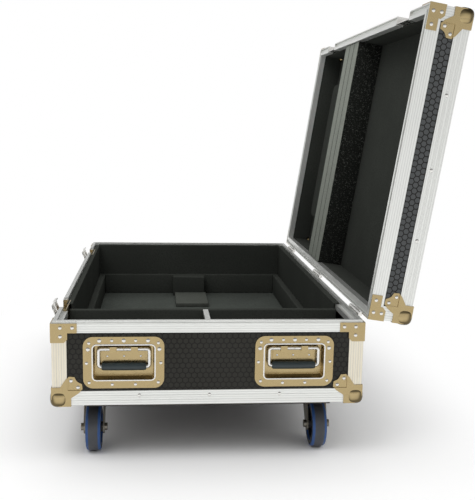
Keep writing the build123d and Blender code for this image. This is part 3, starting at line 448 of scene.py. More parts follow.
def new_group(name, inputs, outputs):
    """An empty shader node group with named sockets."""
    tree = bpy.data.node_groups.new(name, "ShaderNodeTree")
    for label, kind, default in inputs:
        socket = tree.interface.new_socket(name=label, in_out="INPUT", socket_type=kind)
        if default is not None:
            socket.default_value = default
    for label, kind in outputs:
        tree.interface.new_socket(name=label, in_out="OUTPUT", socket_type=kind)
    return tree, tree.nodes.new("NodeGroupInput").outputs, tree.nodes.new("NodeGroupOutput").inputs


def place_group(tree, name, **feeds):
    """A node group placed in a material with its own values."""
    node = tree.nodes.new("ShaderNodeGroup")
    node.node_tree = bpy.data.node_groups[name]
    for key, value in feeds.items():
        feed(tree, node.inputs[key.replace("_", " ")], value)
    return node.outputs


FLOAT, VECTOR = "NodeSocketFloat", "NodeSocketVector"


def honeycomb_group():
    """Hexagons with their vertical sides across the pattern; the line between them and a value for each."""
    tree, entry, result = new_group(
        "Honeycomb",
        [("Vector", VECTOR, None), ("Pitch", FLOAT, 0.012), ("Line", FLOAT, 0.06)],
        [("Line", FLOAT), ("Dome", FLOAT), ("Shade", FLOAT)],
    )
    link = tree.links.new
    period, half, level = (1.0, ROOT_THREE, 1.0), (0.5, ROOT_THREE / 2, 0.0), (1.0, 1.0, 0.0)
    scaled = put(tree, "ShaderNodeVectorMath", {0: entry["Vector"]}, operation="SCALE")
    link(calc(tree, "DIVIDE", 1.0, entry["Pitch"]), scaled.inputs["Scale"])
    flat = vector(tree, "MULTIPLY", scaled.outputs[0], level)

    def lattice(shift):
        moved = vector(tree, "SUBTRACT", flat, shift)
        corner = vector(tree, "MULTIPLY", vector(tree, "FLOOR", vector(tree, "DIVIDE", moved, period)), period)
        local = vector(tree, "SUBTRACT", vector(tree, "SUBTRACT", moved, corner), half)
        local = vector(tree, "MULTIPLY", local, level)
        return local, vector(tree, "SUBTRACT", flat, local), measure(tree, "LENGTH", local)

    first, first_centre, first_far = lattice((0.0, 0.0, 0.0))
    second, second_centre, second_far = lattice(half)
    choose = calc(tree, "LESS_THAN", second_far, first_far)

    def chosen(one, other):
        node = tree.nodes.new("ShaderNodeMix")
        node.data_type = "VECTOR"
        link(choose, node.inputs[0])
        link(one, node.inputs[4])
        link(other, node.inputs[5])
        return node.outputs[1]

    spot, centre = chosen(first, second), chosen(first_centre, second_centre)
    folded = vector(tree, "ABSOLUTE", spot)
    far = calc(tree, "MAXIMUM", split(tree, folded)[0], measure(tree, "DOT_PRODUCT", folded, half))
    edge = calc(tree, "SUBTRACT", 0.5, far)
    inner = calc(tree, "MULTIPLY", entry["Line"], 0.5)
    line = calc(tree, "SUBTRACT", 1.0, eased(tree, edge, inner, entry["Line"]))
    link(line, result["Line"])
    # Dome is 1 at a cell's middle and 0 at its edge; the laminate uses it for a painted highlight, as if each
    # cell were domed
    link(eased(tree, far, 0.5, 0.30), result["Dome"])
    chance = put(tree, "ShaderNodeTexWhiteNoise", {"Vector": centre}, noise_dimensions="3D")
    link(chance.outputs["Value"], result["Shade"])


def box_face(tree, entry):
    """Position, and whether an end or the top of a box is met."""
    normal = split(tree, vector(tree, "ABSOLUTE", entry["Normal"]))
    faces = [calc(tree, "GREATER_THAN", normal[axis], FLAT_FACE) for axis in (1, 2)]
    return split(tree, entry["Position"]), *faces


def flat_group():
    """Coordinates laid flat on whichever face of a box is met, for a print that wraps it."""
    tree, entry, result = new_group(
        "Laid Flat", [("Position", VECTOR, None), ("Normal", VECTOR, None)], [("Vector", VECTOR)]
    )
    link = tree.links.new
    position, on_end, on_top = box_face(tree, entry)
    across = either(tree, on_end, position[0], either(tree, on_top, position[0], position[1]))
    up = either(tree, on_top, position[1], position[2])
    link(put(tree, "ShaderNodeCombineXYZ", {0: across, 1: up}).outputs[0], result["Vector"])


def closed_group():
    """Position and normal of an open lid as if it were shut; an angle of 0 leaves the base as it is."""
    tree, entry, result = new_group(
        "Shut Position",
        [("Position", VECTOR, None), ("Normal", VECTOR, None), ("Angle", FLOAT, 0.0), ("Pivot", VECTOR, None)],
        [("Position", VECTOR), ("Normal", VECTOR)],
    )
    for label, feeds in (("Position", {"Center": entry["Pivot"]}), ("Normal", {})):
        feeds = {"Vector": entry[label], "Angle": entry["Angle"], **feeds}
        back = put(tree, "ShaderNodeVectorRotate", feeds, rotation_type="Y_AXIS", invert=True)
        tree.links.new(back.outputs[0], result[label])


def wear_group():
    """Scuffs and smears at two scales, as masks."""
    tree, entry, result = new_group(
        "Wear",
        [("Vector", VECTOR, None), ("Scuff Scale", FLOAT, 60.0), ("Smear Scale", FLOAT, 9.0)],
        [("Scuff", FLOAT), ("Smear", FLOAT)],
    )
    link = tree.links.new
    stretched = vector(tree, "MULTIPLY", entry["Vector"], (1.0, 1.0, 3.5))
    fine = noise(tree, stretched, entry["Scuff Scale"], 6.0, 0.7)
    wide = noise(tree, entry["Vector"], entry["Smear Scale"], 3.0)
    link(eased(tree, fine, 0.60, 0.74), result["Scuff"])
    link(eased(tree, wide, 0.35, 0.65), result["Smear"])


def groove_lines_group():
    """Fine lines drawn along an extrusion, lying or upright at a corner; the aluminium paints them dark as
    shade in its grooves.
    """
    tree, entry, result = new_group(
        "Drawn Lines",
        [("Position", VECTOR, None), ("Normal", VECTOR, None), ("Low", FLOAT, 0.0), ("High", FLOAT, 1.0),
         ("Leg", FLOAT, 0.03), ("Spacing", FLOAT, 0.0050)],
        [("Lines", FLOAT), ("Streak", FLOAT), ("Post", FLOAT)],
    )
    link = tree.links.new
    position, on_end, on_top = box_face(tree, entry)
    above = calc(tree, "GREATER_THAN", position[2], calc(tree, "ADD", entry["Low"], entry["Leg"]))
    below = calc(tree, "LESS_THAN", position[2], calc(tree, "SUBTRACT", entry["High"], entry["Leg"]))
    post = calc(tree, "MULTIPLY", calc(tree, "MULTIPLY", above, below), calc(tree, "SUBTRACT", 1.0, on_top))
    plan = calc(tree, "ADD", position[0], position[1])
    upright = either(tree, on_end, position[0], position[1])
    across = either(tree, post, upright, either(tree, on_top, plan, position[2]))
    along = either(tree, post, position[2], plan)
    turns = calc(tree, "DIVIDE", across, entry["Spacing"])
    wave = calc(tree, "SINE", calc(tree, "MULTIPLY", turns, 2 * math.pi))
    link(eased(tree, wave, 0.1, 0.9), result["Lines"])
    feeds = {0: calc(tree, "MULTIPLY", across, 900.0), 1: calc(tree, "MULTIPLY", along, 9.0)}
    place = put(tree, "ShaderNodeCombineXYZ", feeds).outputs[0]
    link(noise(tree, place, 1.0, 4.0, 0.6), result["Streak"])
    # Post marks the upright posts, which the base aluminium paints with a warm painted sheen
    link(post, result["Post"])


def foam_group():
    """Cut face of foam: fine cells, sparse larger pits and a slow change of tone; the foams paint the pits
    darker, as painted shade in the hollows.
    """
    tree, entry, result = new_group(
        "Foam Cells",
        [("Vector", VECTOR, None), ("Cell", FLOAT, 900.0), ("Pit", FLOAT, 180.0)],
        [("Height", FLOAT), ("Pits", FLOAT), ("Shade", FLOAT)],
    )
    link = tree.links.new
    fine = noise(tree, entry["Vector"], entry["Cell"], 2.0)
    feeds = {"Vector": entry["Vector"], "Scale": entry["Pit"]}
    pits = put(tree, "ShaderNodeTexVoronoi", feeds, feature="SMOOTH_F1")
    slow = noise(tree, entry["Vector"], 7.0, 3.0)
    hollow = eased(tree, pits.outputs["Distance"], 0.1, 0.5)
    height = calc(tree, "ADD", calc(tree, "MULTIPLY", fine, 0.4), calc(tree, "MULTIPLY", hollow, 0.6))
    link(height, result["Height"])
    link(hollow, result["Pits"])
    link(eased(tree, slow, 0.3, 0.7), result["Shade"])


def new_material(name):
    """An empty material with its Principled shader and object coordinates."""
    material = bpy.data.materials.new(name)
    material.use_nodes = True
    tree = material.node_tree
    tree.nodes.clear()
    shader = tree.nodes.new("ShaderNodeBsdfPrincipled")
    out = tree.nodes.new("ShaderNodeOutputMaterial")
    tree.links.new(shader.outputs[0], out.inputs[0])
    place = tree.nodes.new("ShaderNodeTexCoord")
    return material, tree, shader, place


def bumped(tree, shader, height, strength, distance):
    """Feed a height to the shader's normal."""
    node = put(tree, "ShaderNodeBump", {"Strength": strength, "Distance": distance, "Height": height})
    tree.links.new(node.outputs[0], shader.inputs["Normal"])


def share(tree, value, part):
    """A part of a value."""
    return calc(tree, "MULTIPLY", value, part)


def added(tree, start, value, part):
    """A start and a part of a value."""
    return calc(tree, "ADD", start, share(tree, value, part))


def surface(tree, shader, base, rough, **plain):
    """Feed colour and roughness, and set sockets that are the same all over."""
    feed(tree, shader.inputs["Base Color"], base)
    feed(tree, shader.inputs["Roughness"], rough)
    for label, value in plain.items():
        shader.inputs[label.replace("_", " ")].default_value = value


def wear_of(tree, place, scuff, smear=9.0):
    return place_group(tree, "Wear", Vector=place.outputs["Object"], Scuff_Scale=scuff, Smear_Scale=smear)


def shut(tree, place, angle):
    """Position and normal for a base (angle 0) or a lid."""
    s = sizes()
    pivot = (s.centre_x + s.width / 2 + s.pivot_out, 0.0, s.base_high + s.pivot_up)
    feeds = {"Position": place.outputs["Object"], "Normal": place.outputs["Normal"]}
    return place_group(tree, "Shut Position", **feeds, Angle=angle, Pivot=pivot)


def laminate(name, face, line, angle, gloss):
    """Honeycomb print outside, plain dark paint inside, with scuffs and a painted highlight on the middle of
    each cell.
    """
    s, h, c = sizes(), hardware(), colours()
    material, tree, shader, place = new_material(name)
    spot = shut(tree, place, angle)
    flat = place_group(tree, "Laid Flat", Position=spot["Position"], Normal=spot["Normal"])
    comb = place_group(tree, "Honeycomb", Vector=flat["Vector"], Pitch=h.pitch, Line=0.11)
    wear = wear_of(tree, place, 60.0)
    centred = vector(tree, "SUBTRACT", spot["Position"], (s.centre_x, 0.0, 0.0))
    parts = split(tree, vector(tree, "ABSOLUTE", centred))
    inset = s.wall + PAINT_EDGE
    outside = 0.0
    for part, limit in zip(parts, (s.width / 2, s.length / 2, lid_heights()[1])):
        outside = calc(tree, "MAXIMUM", outside, calc(tree, "GREATER_THAN", part, limit - inset))
    shade = mixed(tree, share(tree, comb["Shade"], 0.35), face, tinted(face, 1.25))
    # Painted highlight: each cell is lighter at its middle, as if domed and lit
    cell = mixed(tree, share(tree, comb["Dome"], 0.30), tinted(face, 0.8), shade)
    printed = mixed(tree, comb["Line"], cell, line)
    scuffed = mixed(tree, share(tree, wear["Scuff"], 0.16), printed, tinted(face, 2.2))
    rough = added(tree, added(tree, gloss, wear["Smear"], 0.12), comb["Line"], 0.15)
    surface(tree, shader, mixed(tree, outside, c.inner_paint, scuffed), rough, Specular_IOR_Level=0.32)
    height = calc(tree, "MULTIPLY", calc(tree, "SUBTRACT", 1.0, comb["Line"]), outside)
    bumped(tree, shader, height, 0.35, 0.0002)
    return material


def aluminium(name, angle, low, high):
    """Satin drawn aluminium with its lines running along each length, painted dark as shade in the grooves that
    the bump sets in; the base's upright posts get a painted warm sheen.
    """
    s, c = sizes(), colours()
    material, tree, shader, place = new_material(name)
    spot = shut(tree, place, angle)
    feeds = {"Position": spot["Position"], "Normal": spot["Normal"], "Low": low, "High": high, "Leg": s.edge}
    drawn = place_group(tree, "Drawn Lines", **feeds)
    wear = wear_of(tree, place, 45.0)
    bright, dim = c.aluminium, tinted(c.aluminium, 0.62)
    if angle == 0.0:
        # Painted sheen: the base's upright posts get a warmer, lit copy of the aluminium colour
        bright = mixed(tree, drawn["Post"], bright, c.post)
    streaked = mixed(tree, eased(tree, drawn["Streak"], 0.75, 0.35, 0.0, 0.12), bright, dim)
    # Painted shade: the lines are darkened where the bump sets the grooves in
    groove_shaded = mixed(tree, share(tree, drawn["Lines"], 0.40), streaked, dim)
    soiled = mixed(tree, share(tree, wear["Scuff"], 0.25), groove_shaded, dim)
    rough = added(tree, added(tree, 0.30, drawn["Streak"], 0.14), wear["Smear"], 0.06)
    surface(tree, shader, soiled, rough, Metallic=0.85)
    height = calc(tree, "SUBTRACT", share(tree, drawn["Streak"], 0.5), share(tree, drawn["Lines"], 0.5))
    bumped(tree, shader, height, 0.35, 0.0006)
    return material


def zinc(name, rough=0.20, rim=0.0):
    """Polished zinc plate with fine wipe marks; a rim paints the colour dark where the surface turns away from
    the camera, a painted dark reflection, as on a ball.
    """
    base = colours().zinc
    material, tree, shader, place = new_material(name)
    wear = wear_of(tree, place, 90.0, 25.0)
    worn = mixed(tree, share(tree, wear["Scuff"], 0.12), base, tinted(base, 0.7))
    smeared = mixed(tree, share(tree, wear["Smear"], 0.18), worn, tinted(base, 1.2))
    # Painted reflection: the colour turns dark where the surface faces away, standing in for the dark room a
    # ball reflects; rim sets how strong
    turned = put(tree, "ShaderNodeLayerWeight", {"Blend": 0.5}).outputs["Facing"]
    edge = share(tree, eased(tree, turned, 0.05, 0.24), rim)
    reflection_darkened = mixed(tree, edge, smeared, tinted(base, 0.18))
    surface(tree, shader, reflection_darkened, added(tree, rough, wear["Smear"], 0.10), Metallic=1.0)
    return material


def plain_metal(name, base, rough, scuff=0.25):
    """Bright metal with light wear."""
    material, tree, shader, place = new_material(name)
    wear = wear_of(tree, place, 140.0, 40.0)
    worn = mixed(tree, share(tree, wear["Scuff"], scuff), base, tinted(base, 0.6))
    surface(tree, shader, worn, added(tree, rough, wear["Smear"], 0.12), Metallic=1.0)
    bumped(tree, shader, wear["Scuff"], 0.1, 0.0002)
    return material


def foam(name, base, cell=900.0, pit=260.0, depth=0.28, rise=0.0005):
    """Matt foam with its cells, painted darker in its pits as shade."""
    material, tree, shader, place = new_material(name)
    cells = place_group(tree, "Foam Cells", Vector=place.outputs["Object"], Cell=cell, Pit=pit)
    clouded = mixed(tree, share(tree, cells["Shade"], 0.8), tinted(base, 0.8), tinted(base, 1.25))
    # Painted shade: the colour is darker in the pits, where shade falls
    pit_shaded = mixed(tree, share(tree, cells["Pits"], depth), tinted(base, 0.55), clouded)
    surface(tree, shader, pit_shaded, added(tree, 0.86, cells["Height"], 0.1), Specular_IOR_Level=0.0)
    bumped(tree, shader, cells["Height"], depth, rise)
    return material


def rib_material(name):
    """Grey cut stripes towards the base with dark grooves, coarse black foam with light specks on the sides;
    the grey is painted darker in its pits, as shade.
    """
    c, low = colours(), lid_heights()[0]
    material, tree, shader, place = new_material(name)
    spot = shut(tree, place, sizes().open_angle)
    stripe = eased(tree, split(tree, spot["Normal"])[2], -0.6, -0.8)
    level = eased(tree, split(tree, spot["Position"])[2], low + STRIPE_TOP, low + STRIPE_TOP - 0.001)
    stripe = calc(tree, "MULTIPLY", stripe, level)
    cells = place_group(tree, "Foam Cells", Vector=place.outputs["Object"], Cell=420.0, Pit=330.0)
    light = eased(tree, noise(tree, place.outputs["Object"], 330.0, 3.0, 0.8), 0.54, 0.68)
    coarse = mixed(tree, light, tinted(c.foam, 0.25), tinted(c.foam, 2.6))
    # Painted shade: the grey stripes are darker in their pits
    grey = mixed(tree, share(tree, cells["Pits"], 0.5), tinted(c.grey_foam, 2.0), tinted(c.grey_foam, 3.0))
    rough = added(tree, 0.8, cells["Height"], 0.15)
    surface(tree, shader, mixed(tree, stripe, coarse, grey), rough, Specular_IOR_Level=0.0)
    bumped(tree, shader, calc(tree, "ADD", cells["Height"], light), 0.7, 0.0012)
    return material


def moulded(name, base, rough, grain=500.0, depth=0.15):
    """Moulded rubber, nylon or paint with a fine skin."""
    material, tree, shader, place = new_material(name)
    wear = wear_of(tree, place, 120.0, 30.0)
    dusted = mixed(tree, share(tree, wear["Smear"], 0.35), base, tinted(base, 1.6))
    scuffed = mixed(tree, share(tree, wear["Scuff"], 0.3), dusted, tinted(base, 0.6))
    surface(tree, shader, scuffed, added(tree, rough, wear["Smear"], 0.15))
    bumped(tree, shader, noise(tree, place.outputs["Object"], grain, 2.0), depth, 0.0003)
    return material


def tyre_material(name):
    """Elastic tyre: worn grey running face between blue shoulders, dark side walls."""
    c = colours()
    material, tree, shader, place = new_material(name)
    across = put(tree, "ShaderNodeAttribute", attribute_name="across", attribute_type="GEOMETRY")
    shoulder = across.outputs["Fac"]
    wear = wear_of(tree, place, 160.0, 60.0)
    scattered = added(tree, shoulder, wear["Smear"], 0.03)
    running = calc(tree, "SUBTRACT", 1.0, eased(tree, scattered, 0.60, 0.68))
    faced = mixed(tree, running, c.tyre, c.tread)
    faced = mixed(tree, share(tree, wear["Scuff"], 0.4), faced, tinted(c.tread, 0.6))
    sided = mixed(tree, eased(tree, shoulder, 0.965, 0.99), faced, c.nylon)
    surface(tree, shader, sided, added(tree, 0.45, wear["Smear"], 0.2))
    bumped(tree, shader, wear["Scuff"], 0.2, 0.0003)
    return material


def finish_for(name):
    """A material by name, made when first asked for; the frame's own plain materials keep their names."""
    label = f"{name}_finish"
    if label in bpy.data.materials:
        return bpy.data.materials[label]
    s, c = sizes(), colours()
    low, top, _ = lid_heights()
    line = c.laminate_line
    makers = {
        "base_laminate": (laminate, c.laminate, line, 0.0, 0.42),
        "lid_laminate": (laminate, c.lid_laminate, line, s.open_angle, 0.40),
        "base_aluminium": (aluminium, 0.0, s.base_low, s.base_high),
        "lid_aluminium": (aluminium, s.open_angle, low, top),
        "zinc_plate": (zinc,),
        # Balls: smooth zinc with a strong painted dark reflection round their turned-away rim
        "ball_zinc": (zinc, 0.05, 0.85),
        "rivet_steel": (plain_metal, c.chrome, 0.14),
        "bright_steel": (plain_metal, c.chrome, 0.22),
        "caster_steel": (plain_metal, c.steel, 0.3, 0.5),
        "charcoal_foam": (foam, c.foam),
        "floor_foam": (foam, c.floor_foam, 700.0, 200.0),
        "grey_foam": (foam, c.grey_foam),
        "rib_foam": (rib_material,),
        "grip_rubber": (moulded, c.rubber, 0.34),
        "nylon": (moulded, c.nylon, 0.4),
        "board_paint": (moulded, c.board, 0.5),
        "tyre_rubber": (tyre_material,),
    }
    make, *values = makers[name]
    return make(label, *values)


# ---- operators, one for each piece or group of like pieces


class CASE_OT_groups(bpy.types.Operator):
    """Build the shared shader node groups"""

    bl_idname = "case.groups"
    bl_label = "Shared finishes"

    def execute(self, context):
        for build in (honeycomb_group, flat_group, closed_group, wear_group, groove_lines_group, foam_group):
            build()
        return {"FINISHED"}


class CASE_OT_boards(bpy.types.Operator):
    """Finish the laminated boards and the caster board"""

    bl_idname = "case.boards"
    bl_label = "Boards"

    def execute(self, context):
        paint(finish_for("base_laminate"), "base_end_panels", "hinge_side_panel", "catch_side_panel")
        paint(finish_for("base_laminate"), "floor_panel")
        paint(finish_for("lid_laminate"), "lid_top_panel", "lid_wall_panels")
        paint(finish_for("board_paint"), "caster_board")
        return {"FINISHED"}


class CASE_OT_extrusions(bpy.types.Operator):
    """Finish the edge and rim extrusions and the divider's cap"""

    bl_idname = "case.extrusions"
    bl_label = "Extrusions"

    def execute(self, context):
        paint(finish_for("base_aluminium"), "edge_extrusions", "base_rim_extrusions", "divider_cap")
        paint(finish_for("lid_aluminium"), "lid_edge_extrusions", "lid_rim_extrusions")
        return {"FINISHED"}


class CASE_OT_hardware(bpy.types.Operator):
    """Finish the corners, braces, handles, catches and hinges"""

    bl_idname = "case.hardware"
    bl_label = "Hardware"

    def execute(self, context):
        paint(finish_for("zinc_plate"), "base_ball_corners", "lid_ball_corners", "base_braces", "lid_braces")
        paint(finish_for("zinc_plate"), "handle_dishes", "handle_covers", "catch_dishes")
        paint(finish_for("bright_steel"), "catch_keepers", "hinge_base_leaves", "hinge_lid_leaves")
        paint(finish_for("bright_steel"), "hinge_pins", *[f"handle_bail_{k}" for k in range(1, COUNT + 1)])
        for part in ("claw", "rotor", "wing"):
            paint(finish_for("bright_steel"), f"catch_{part}_1", f"catch_{part}_2")
        return {"FINISHED"}


class CASE_OT_balls(bpy.types.Operator):
    """Polished balls of the corners, a little squared as they are pressed"""

    bl_idname = "case.balls"
    bl_label = "Balls"

    def ball(self, square=2.75):
        """A ball whose faces are a little flattened, so that its outline on each side is larger."""
        h = hardware()
        clear()
        bpy.ops.mesh.primitive_ico_sphere_add(subdivisions=4, radius=h.ball, location=(0, 0, 0))
        piece = bpy.context.object
        for vertex in piece.data.vertices:
            ray = vertex.co.normalized()
            reach = sum(abs(part) ** square for part in ray) ** (-1.0 / square)
            vertex.co = ray * h.ball * reach
        piece.select_set(True)
        bpy.ops.object.shade_smooth()
        return piece

    def execute(self, context):
        s, h = sizes(), hardware()
        left, right, near, far = case_sides()
        top = lid_heights()[1]
        rows, columns = (near + h.ball_in, far - h.ball_in), (left + h.ball_in, right - h.ball_in)
        low = [Matrix.Translation((x, y, s.base_low + h.ball_in)) for x in columns for y in rows]
        high = [lid_turn() @ Matrix.Translation((x, y, top - h.ball_in)) for x in columns for y in rows]
        base = copied(self.ball(), low, "base_balls")
        dressed(base, finish_for("ball_zinc"), "zinc_hardware", BODY_BASE)
        lid = copied(self.ball(), high, "lid_balls")
        for vertex in lid.data.vertices:
            vertex.co = Vector([min(max(part, a), b) for part, a, b in zip(vertex.co, *CAD_BOX)])
        dressed(lid, finish_for("ball_zinc"), "zinc_hardware", BODY_LID)
        return {"FINISHED"}


class CASE_OT_rivets(bpy.types.Operator):
    """Domed rivet heads on braces, corners, handle plates and extrusions"""

    bl_idname = "case.rivets"
    bl_label = "Rivets"

    def head(self):
        """One domed head: a disc drawn up in rings, closed at the crown."""
        h = hardware()
        clear()
        bpy.ops.mesh.primitive_circle_add(vertices=16, radius=h.rivet, fill_type="NGON", location=(0, 0, 0))
        piece = bpy.context.object
        edit(piece, "SELECT")
        for rise, shrink in ((0.14, 1.0), (0.34, 0.86), (0.32, 0.70), (0.16, 0.45)):
            drawn_out((0, 0, rise * h.rivet_high))
            bpy.ops.transform.resize(value=(shrink, shrink, 1.0))
        return smoothed(piece, 65.0)

    def corner_spots(self, z, up, spots, lift):
        """Places on the end and side faces at the four corners."""
        left, right, near, far = case_sides()
        found = []
        for x, to_x in ((left, 1), (right, -1)):
            for y, to_y in ((near, 1), (far, -1)):
                for u, v in spots:
                    found.append(((x - to_x * lift, y + to_y * u, z + up * v), (-to_x, 0, 0)))
                    found.append(((x + to_x * u, y - to_y * lift, z + up * v), (0, -to_y, 0)))
        return found

    def row_spots(self, z, ends, sides):
        """Places along an extrusion on all four faces, measured from the hinge side and the near end."""
        left, right, near, far = case_sides()
        found = []
        for along in ends:
            found += [((right - along, near, z), (0, -1, 0)), ((right - along, far, z), (0, 1, 0))]
        for along in sides:
            found += [((left, near + along, z), (-1, 0, 0)), ((right, near + along, z), (1, 0, 0))]
        return found

    def handle_spots(self):
        """Places and scales of the rivets of each handle plate and cover."""
        s, h = sizes(), hardware()
        pairs = ((0.024, 0.046), (0.070, 0.041), (0.075, -0.001), (0.070, -0.042), (0.0235, -0.046))
        plain = [(side * u, v) for u, v in pairs for side in (-1, 1)]
        large = [(-0.049, 0.046), (0.0, 0.046), (0.049, 0.046), (-0.072, 0.028), (0.072, 0.028)]
        found = []
        covered = [(u, 0.009) for u in (-0.034, 0.0, 0.034)]
        for x, y, inward in handle_places():
            face = y + inward * (s.wall - s.sheet)
            cover = y + inward * (s.wall + h.cover_in)
            for spots, level, scale in ((plain, face, 0.86), (large, face, 1.12), (covered, cover, 0.6)):
                for u, v in spots:
                    found.append(facing((x + u, level, s.base_low + h.handle_z + v), (0, -inward, 0), scale))
        return found

    def execute(self, context):
        s, h = sizes(), hardware()
        low, top, _ = lid_heights()
        row = [ROW_FROM + ROW_STEP * k for k in range(7)]
        lobes = ((h.lobe_far, h.lobe_near), (h.lobe_near, h.lobe_far))
        spots = self.corner_spots(s.base_high, -1, ((0.018, 0.009), (0.042, 0.009), (0.018, 0.027)), h.plate)
        spots += self.corner_spots(s.base_low, 1, lobes, 0.0)
        spots += self.row_spots(s.base_low + ROW_IN, (0.174, 0.320, 0.464), row)
        places = [facing(place, outward) for place, outward in spots] + self.handle_spots()
        base = copied(self.head(), places, "base_rivet_heads")
        dressed(base, finish_for("rivet_steel"), "rivet_steel", BODY_BASE, "base_rivets")
        spots = self.corner_spots(low, 1, ((0.014, 0.009), (0.040, 0.010), (0.014, 0.026)), h.plate)
        spots += self.corner_spots(top, -1, lobes, 0.0)
        spots += self.row_spots(top - ROW_IN, (0.174, 0.320, 0.471), row)
        places = [lid_turn() @ facing(place, outward) for place, outward in spots]
        lid = copied(self.head(), places, "lid_rivet_heads")
        dressed(lid, finish_for("rivet_steel"), "rivet_steel", BODY_LID, "lid_rivets")
        return {"FINISHED"}


class CASE_OT_handles(bpy.types.Operator):
    """Pressed beads round the handle dishes and moulded rubber grips on the bails"""

    bl_idname = "case.handles"
    bl_label = "Handles"

    def bead(self):
        """A rounded frame pressed out of the plate round the dish's opening."""
        h = hardware()
        clear()
        bpy.ops.mesh.primitive_plane_add(size=1.0, location=(0, 0, 0))
        piece = bpy.context.object
        piece.scale = (h.dish_w + 2 * h.bead, h.dish_h + 2 * h.bead, 1.0)
        settle(piece, "bead")
        edit(piece, "SELECT")
        bpy.ops.mesh.bevel(offset=h.dish_r + h.bead, segments=6, affect="VERTICES")
        bpy.ops.mesh.select_all(action="SELECT")
        bpy.ops.mesh.inset(thickness=h.bead)
        bpy.ops.mesh.delete(type="FACE")
        bpy.ops.mesh.select_all(action="SELECT")
        drawn_out((0, 0, h.bead_high))
        bpy.ops.mesh.select_all(action="SELECT")
        bpy.ops.mesh.normals_make_consistent(inside=False)
        return bevelled(piece, 0.0005, 3, 30.0)

    def grip(self, number):
        """A grip with rounded ends, a slight belly and shallow finger rings."""
        low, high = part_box(f"handle_grip_{number}")
        middle, long = (low + high) / 2, high.x - low.x
        radius = hardware().grip
        clear()
        bpy.ops.mesh.primitive_cylinder_add(
            vertices=40, radius=radius, depth=long, location=middle, rotation=(0, math.radians(90), 0)
        )
        piece = settle(bpy.context.object, f"grip_rubber_{number}")
        for step in range(1, GRIP_STEPS):
            cut(piece, (low.x + long * step / GRIP_STEPS, 0, 0), (1, 0, 0))
        clear()
        for vertex in piece.data.vertices:
            along = abs(vertex.co.x - middle.x) / (long / 2)
            belly = 1.0 - 0.05 * along ** 2 - 0.14 * max(0.0, (along - 0.93) / 0.07)
            ring = 1.0 - 0.012 * (0.5 + 0.5 * math.cos(vertex.co.x * 2 * math.pi / 0.0065))
            out = Vector((0.0, vertex.co.y - middle.y, vertex.co.z - middle.z)) * belly * ring
            vertex.co = Vector((vertex.co.x, middle.y + out.y, middle.z + out.z))
        return bevelled(piece, 0.0011, 2, 50.0)

    def execute(self, context):
        s, h = sizes(), hardware()
        places = []
        for x, y, inward in handle_places():
            face = y + inward * (s.wall - s.sheet)
            turn = Matrix.Rotation(math.radians(90 if inward > 0 else -90), 4, "X")
            places.append(Matrix.Translation((x, face, s.base_low + h.handle_z)) @ turn)
        beads = copied(self.bead(), places, "handle_beads")
        dressed(beads, finish_for("bright_steel"), "zinc_hardware", BODY_BASE)
        for number in range(1, COUNT + 1):
            grip, body, node = self.grip(number), f"handle_{number}", f"handle_grip_{number}"
            dressed(grip, finish_for("grip_rubber"), "black_rubber", body, node)
        return {"FINISHED"}


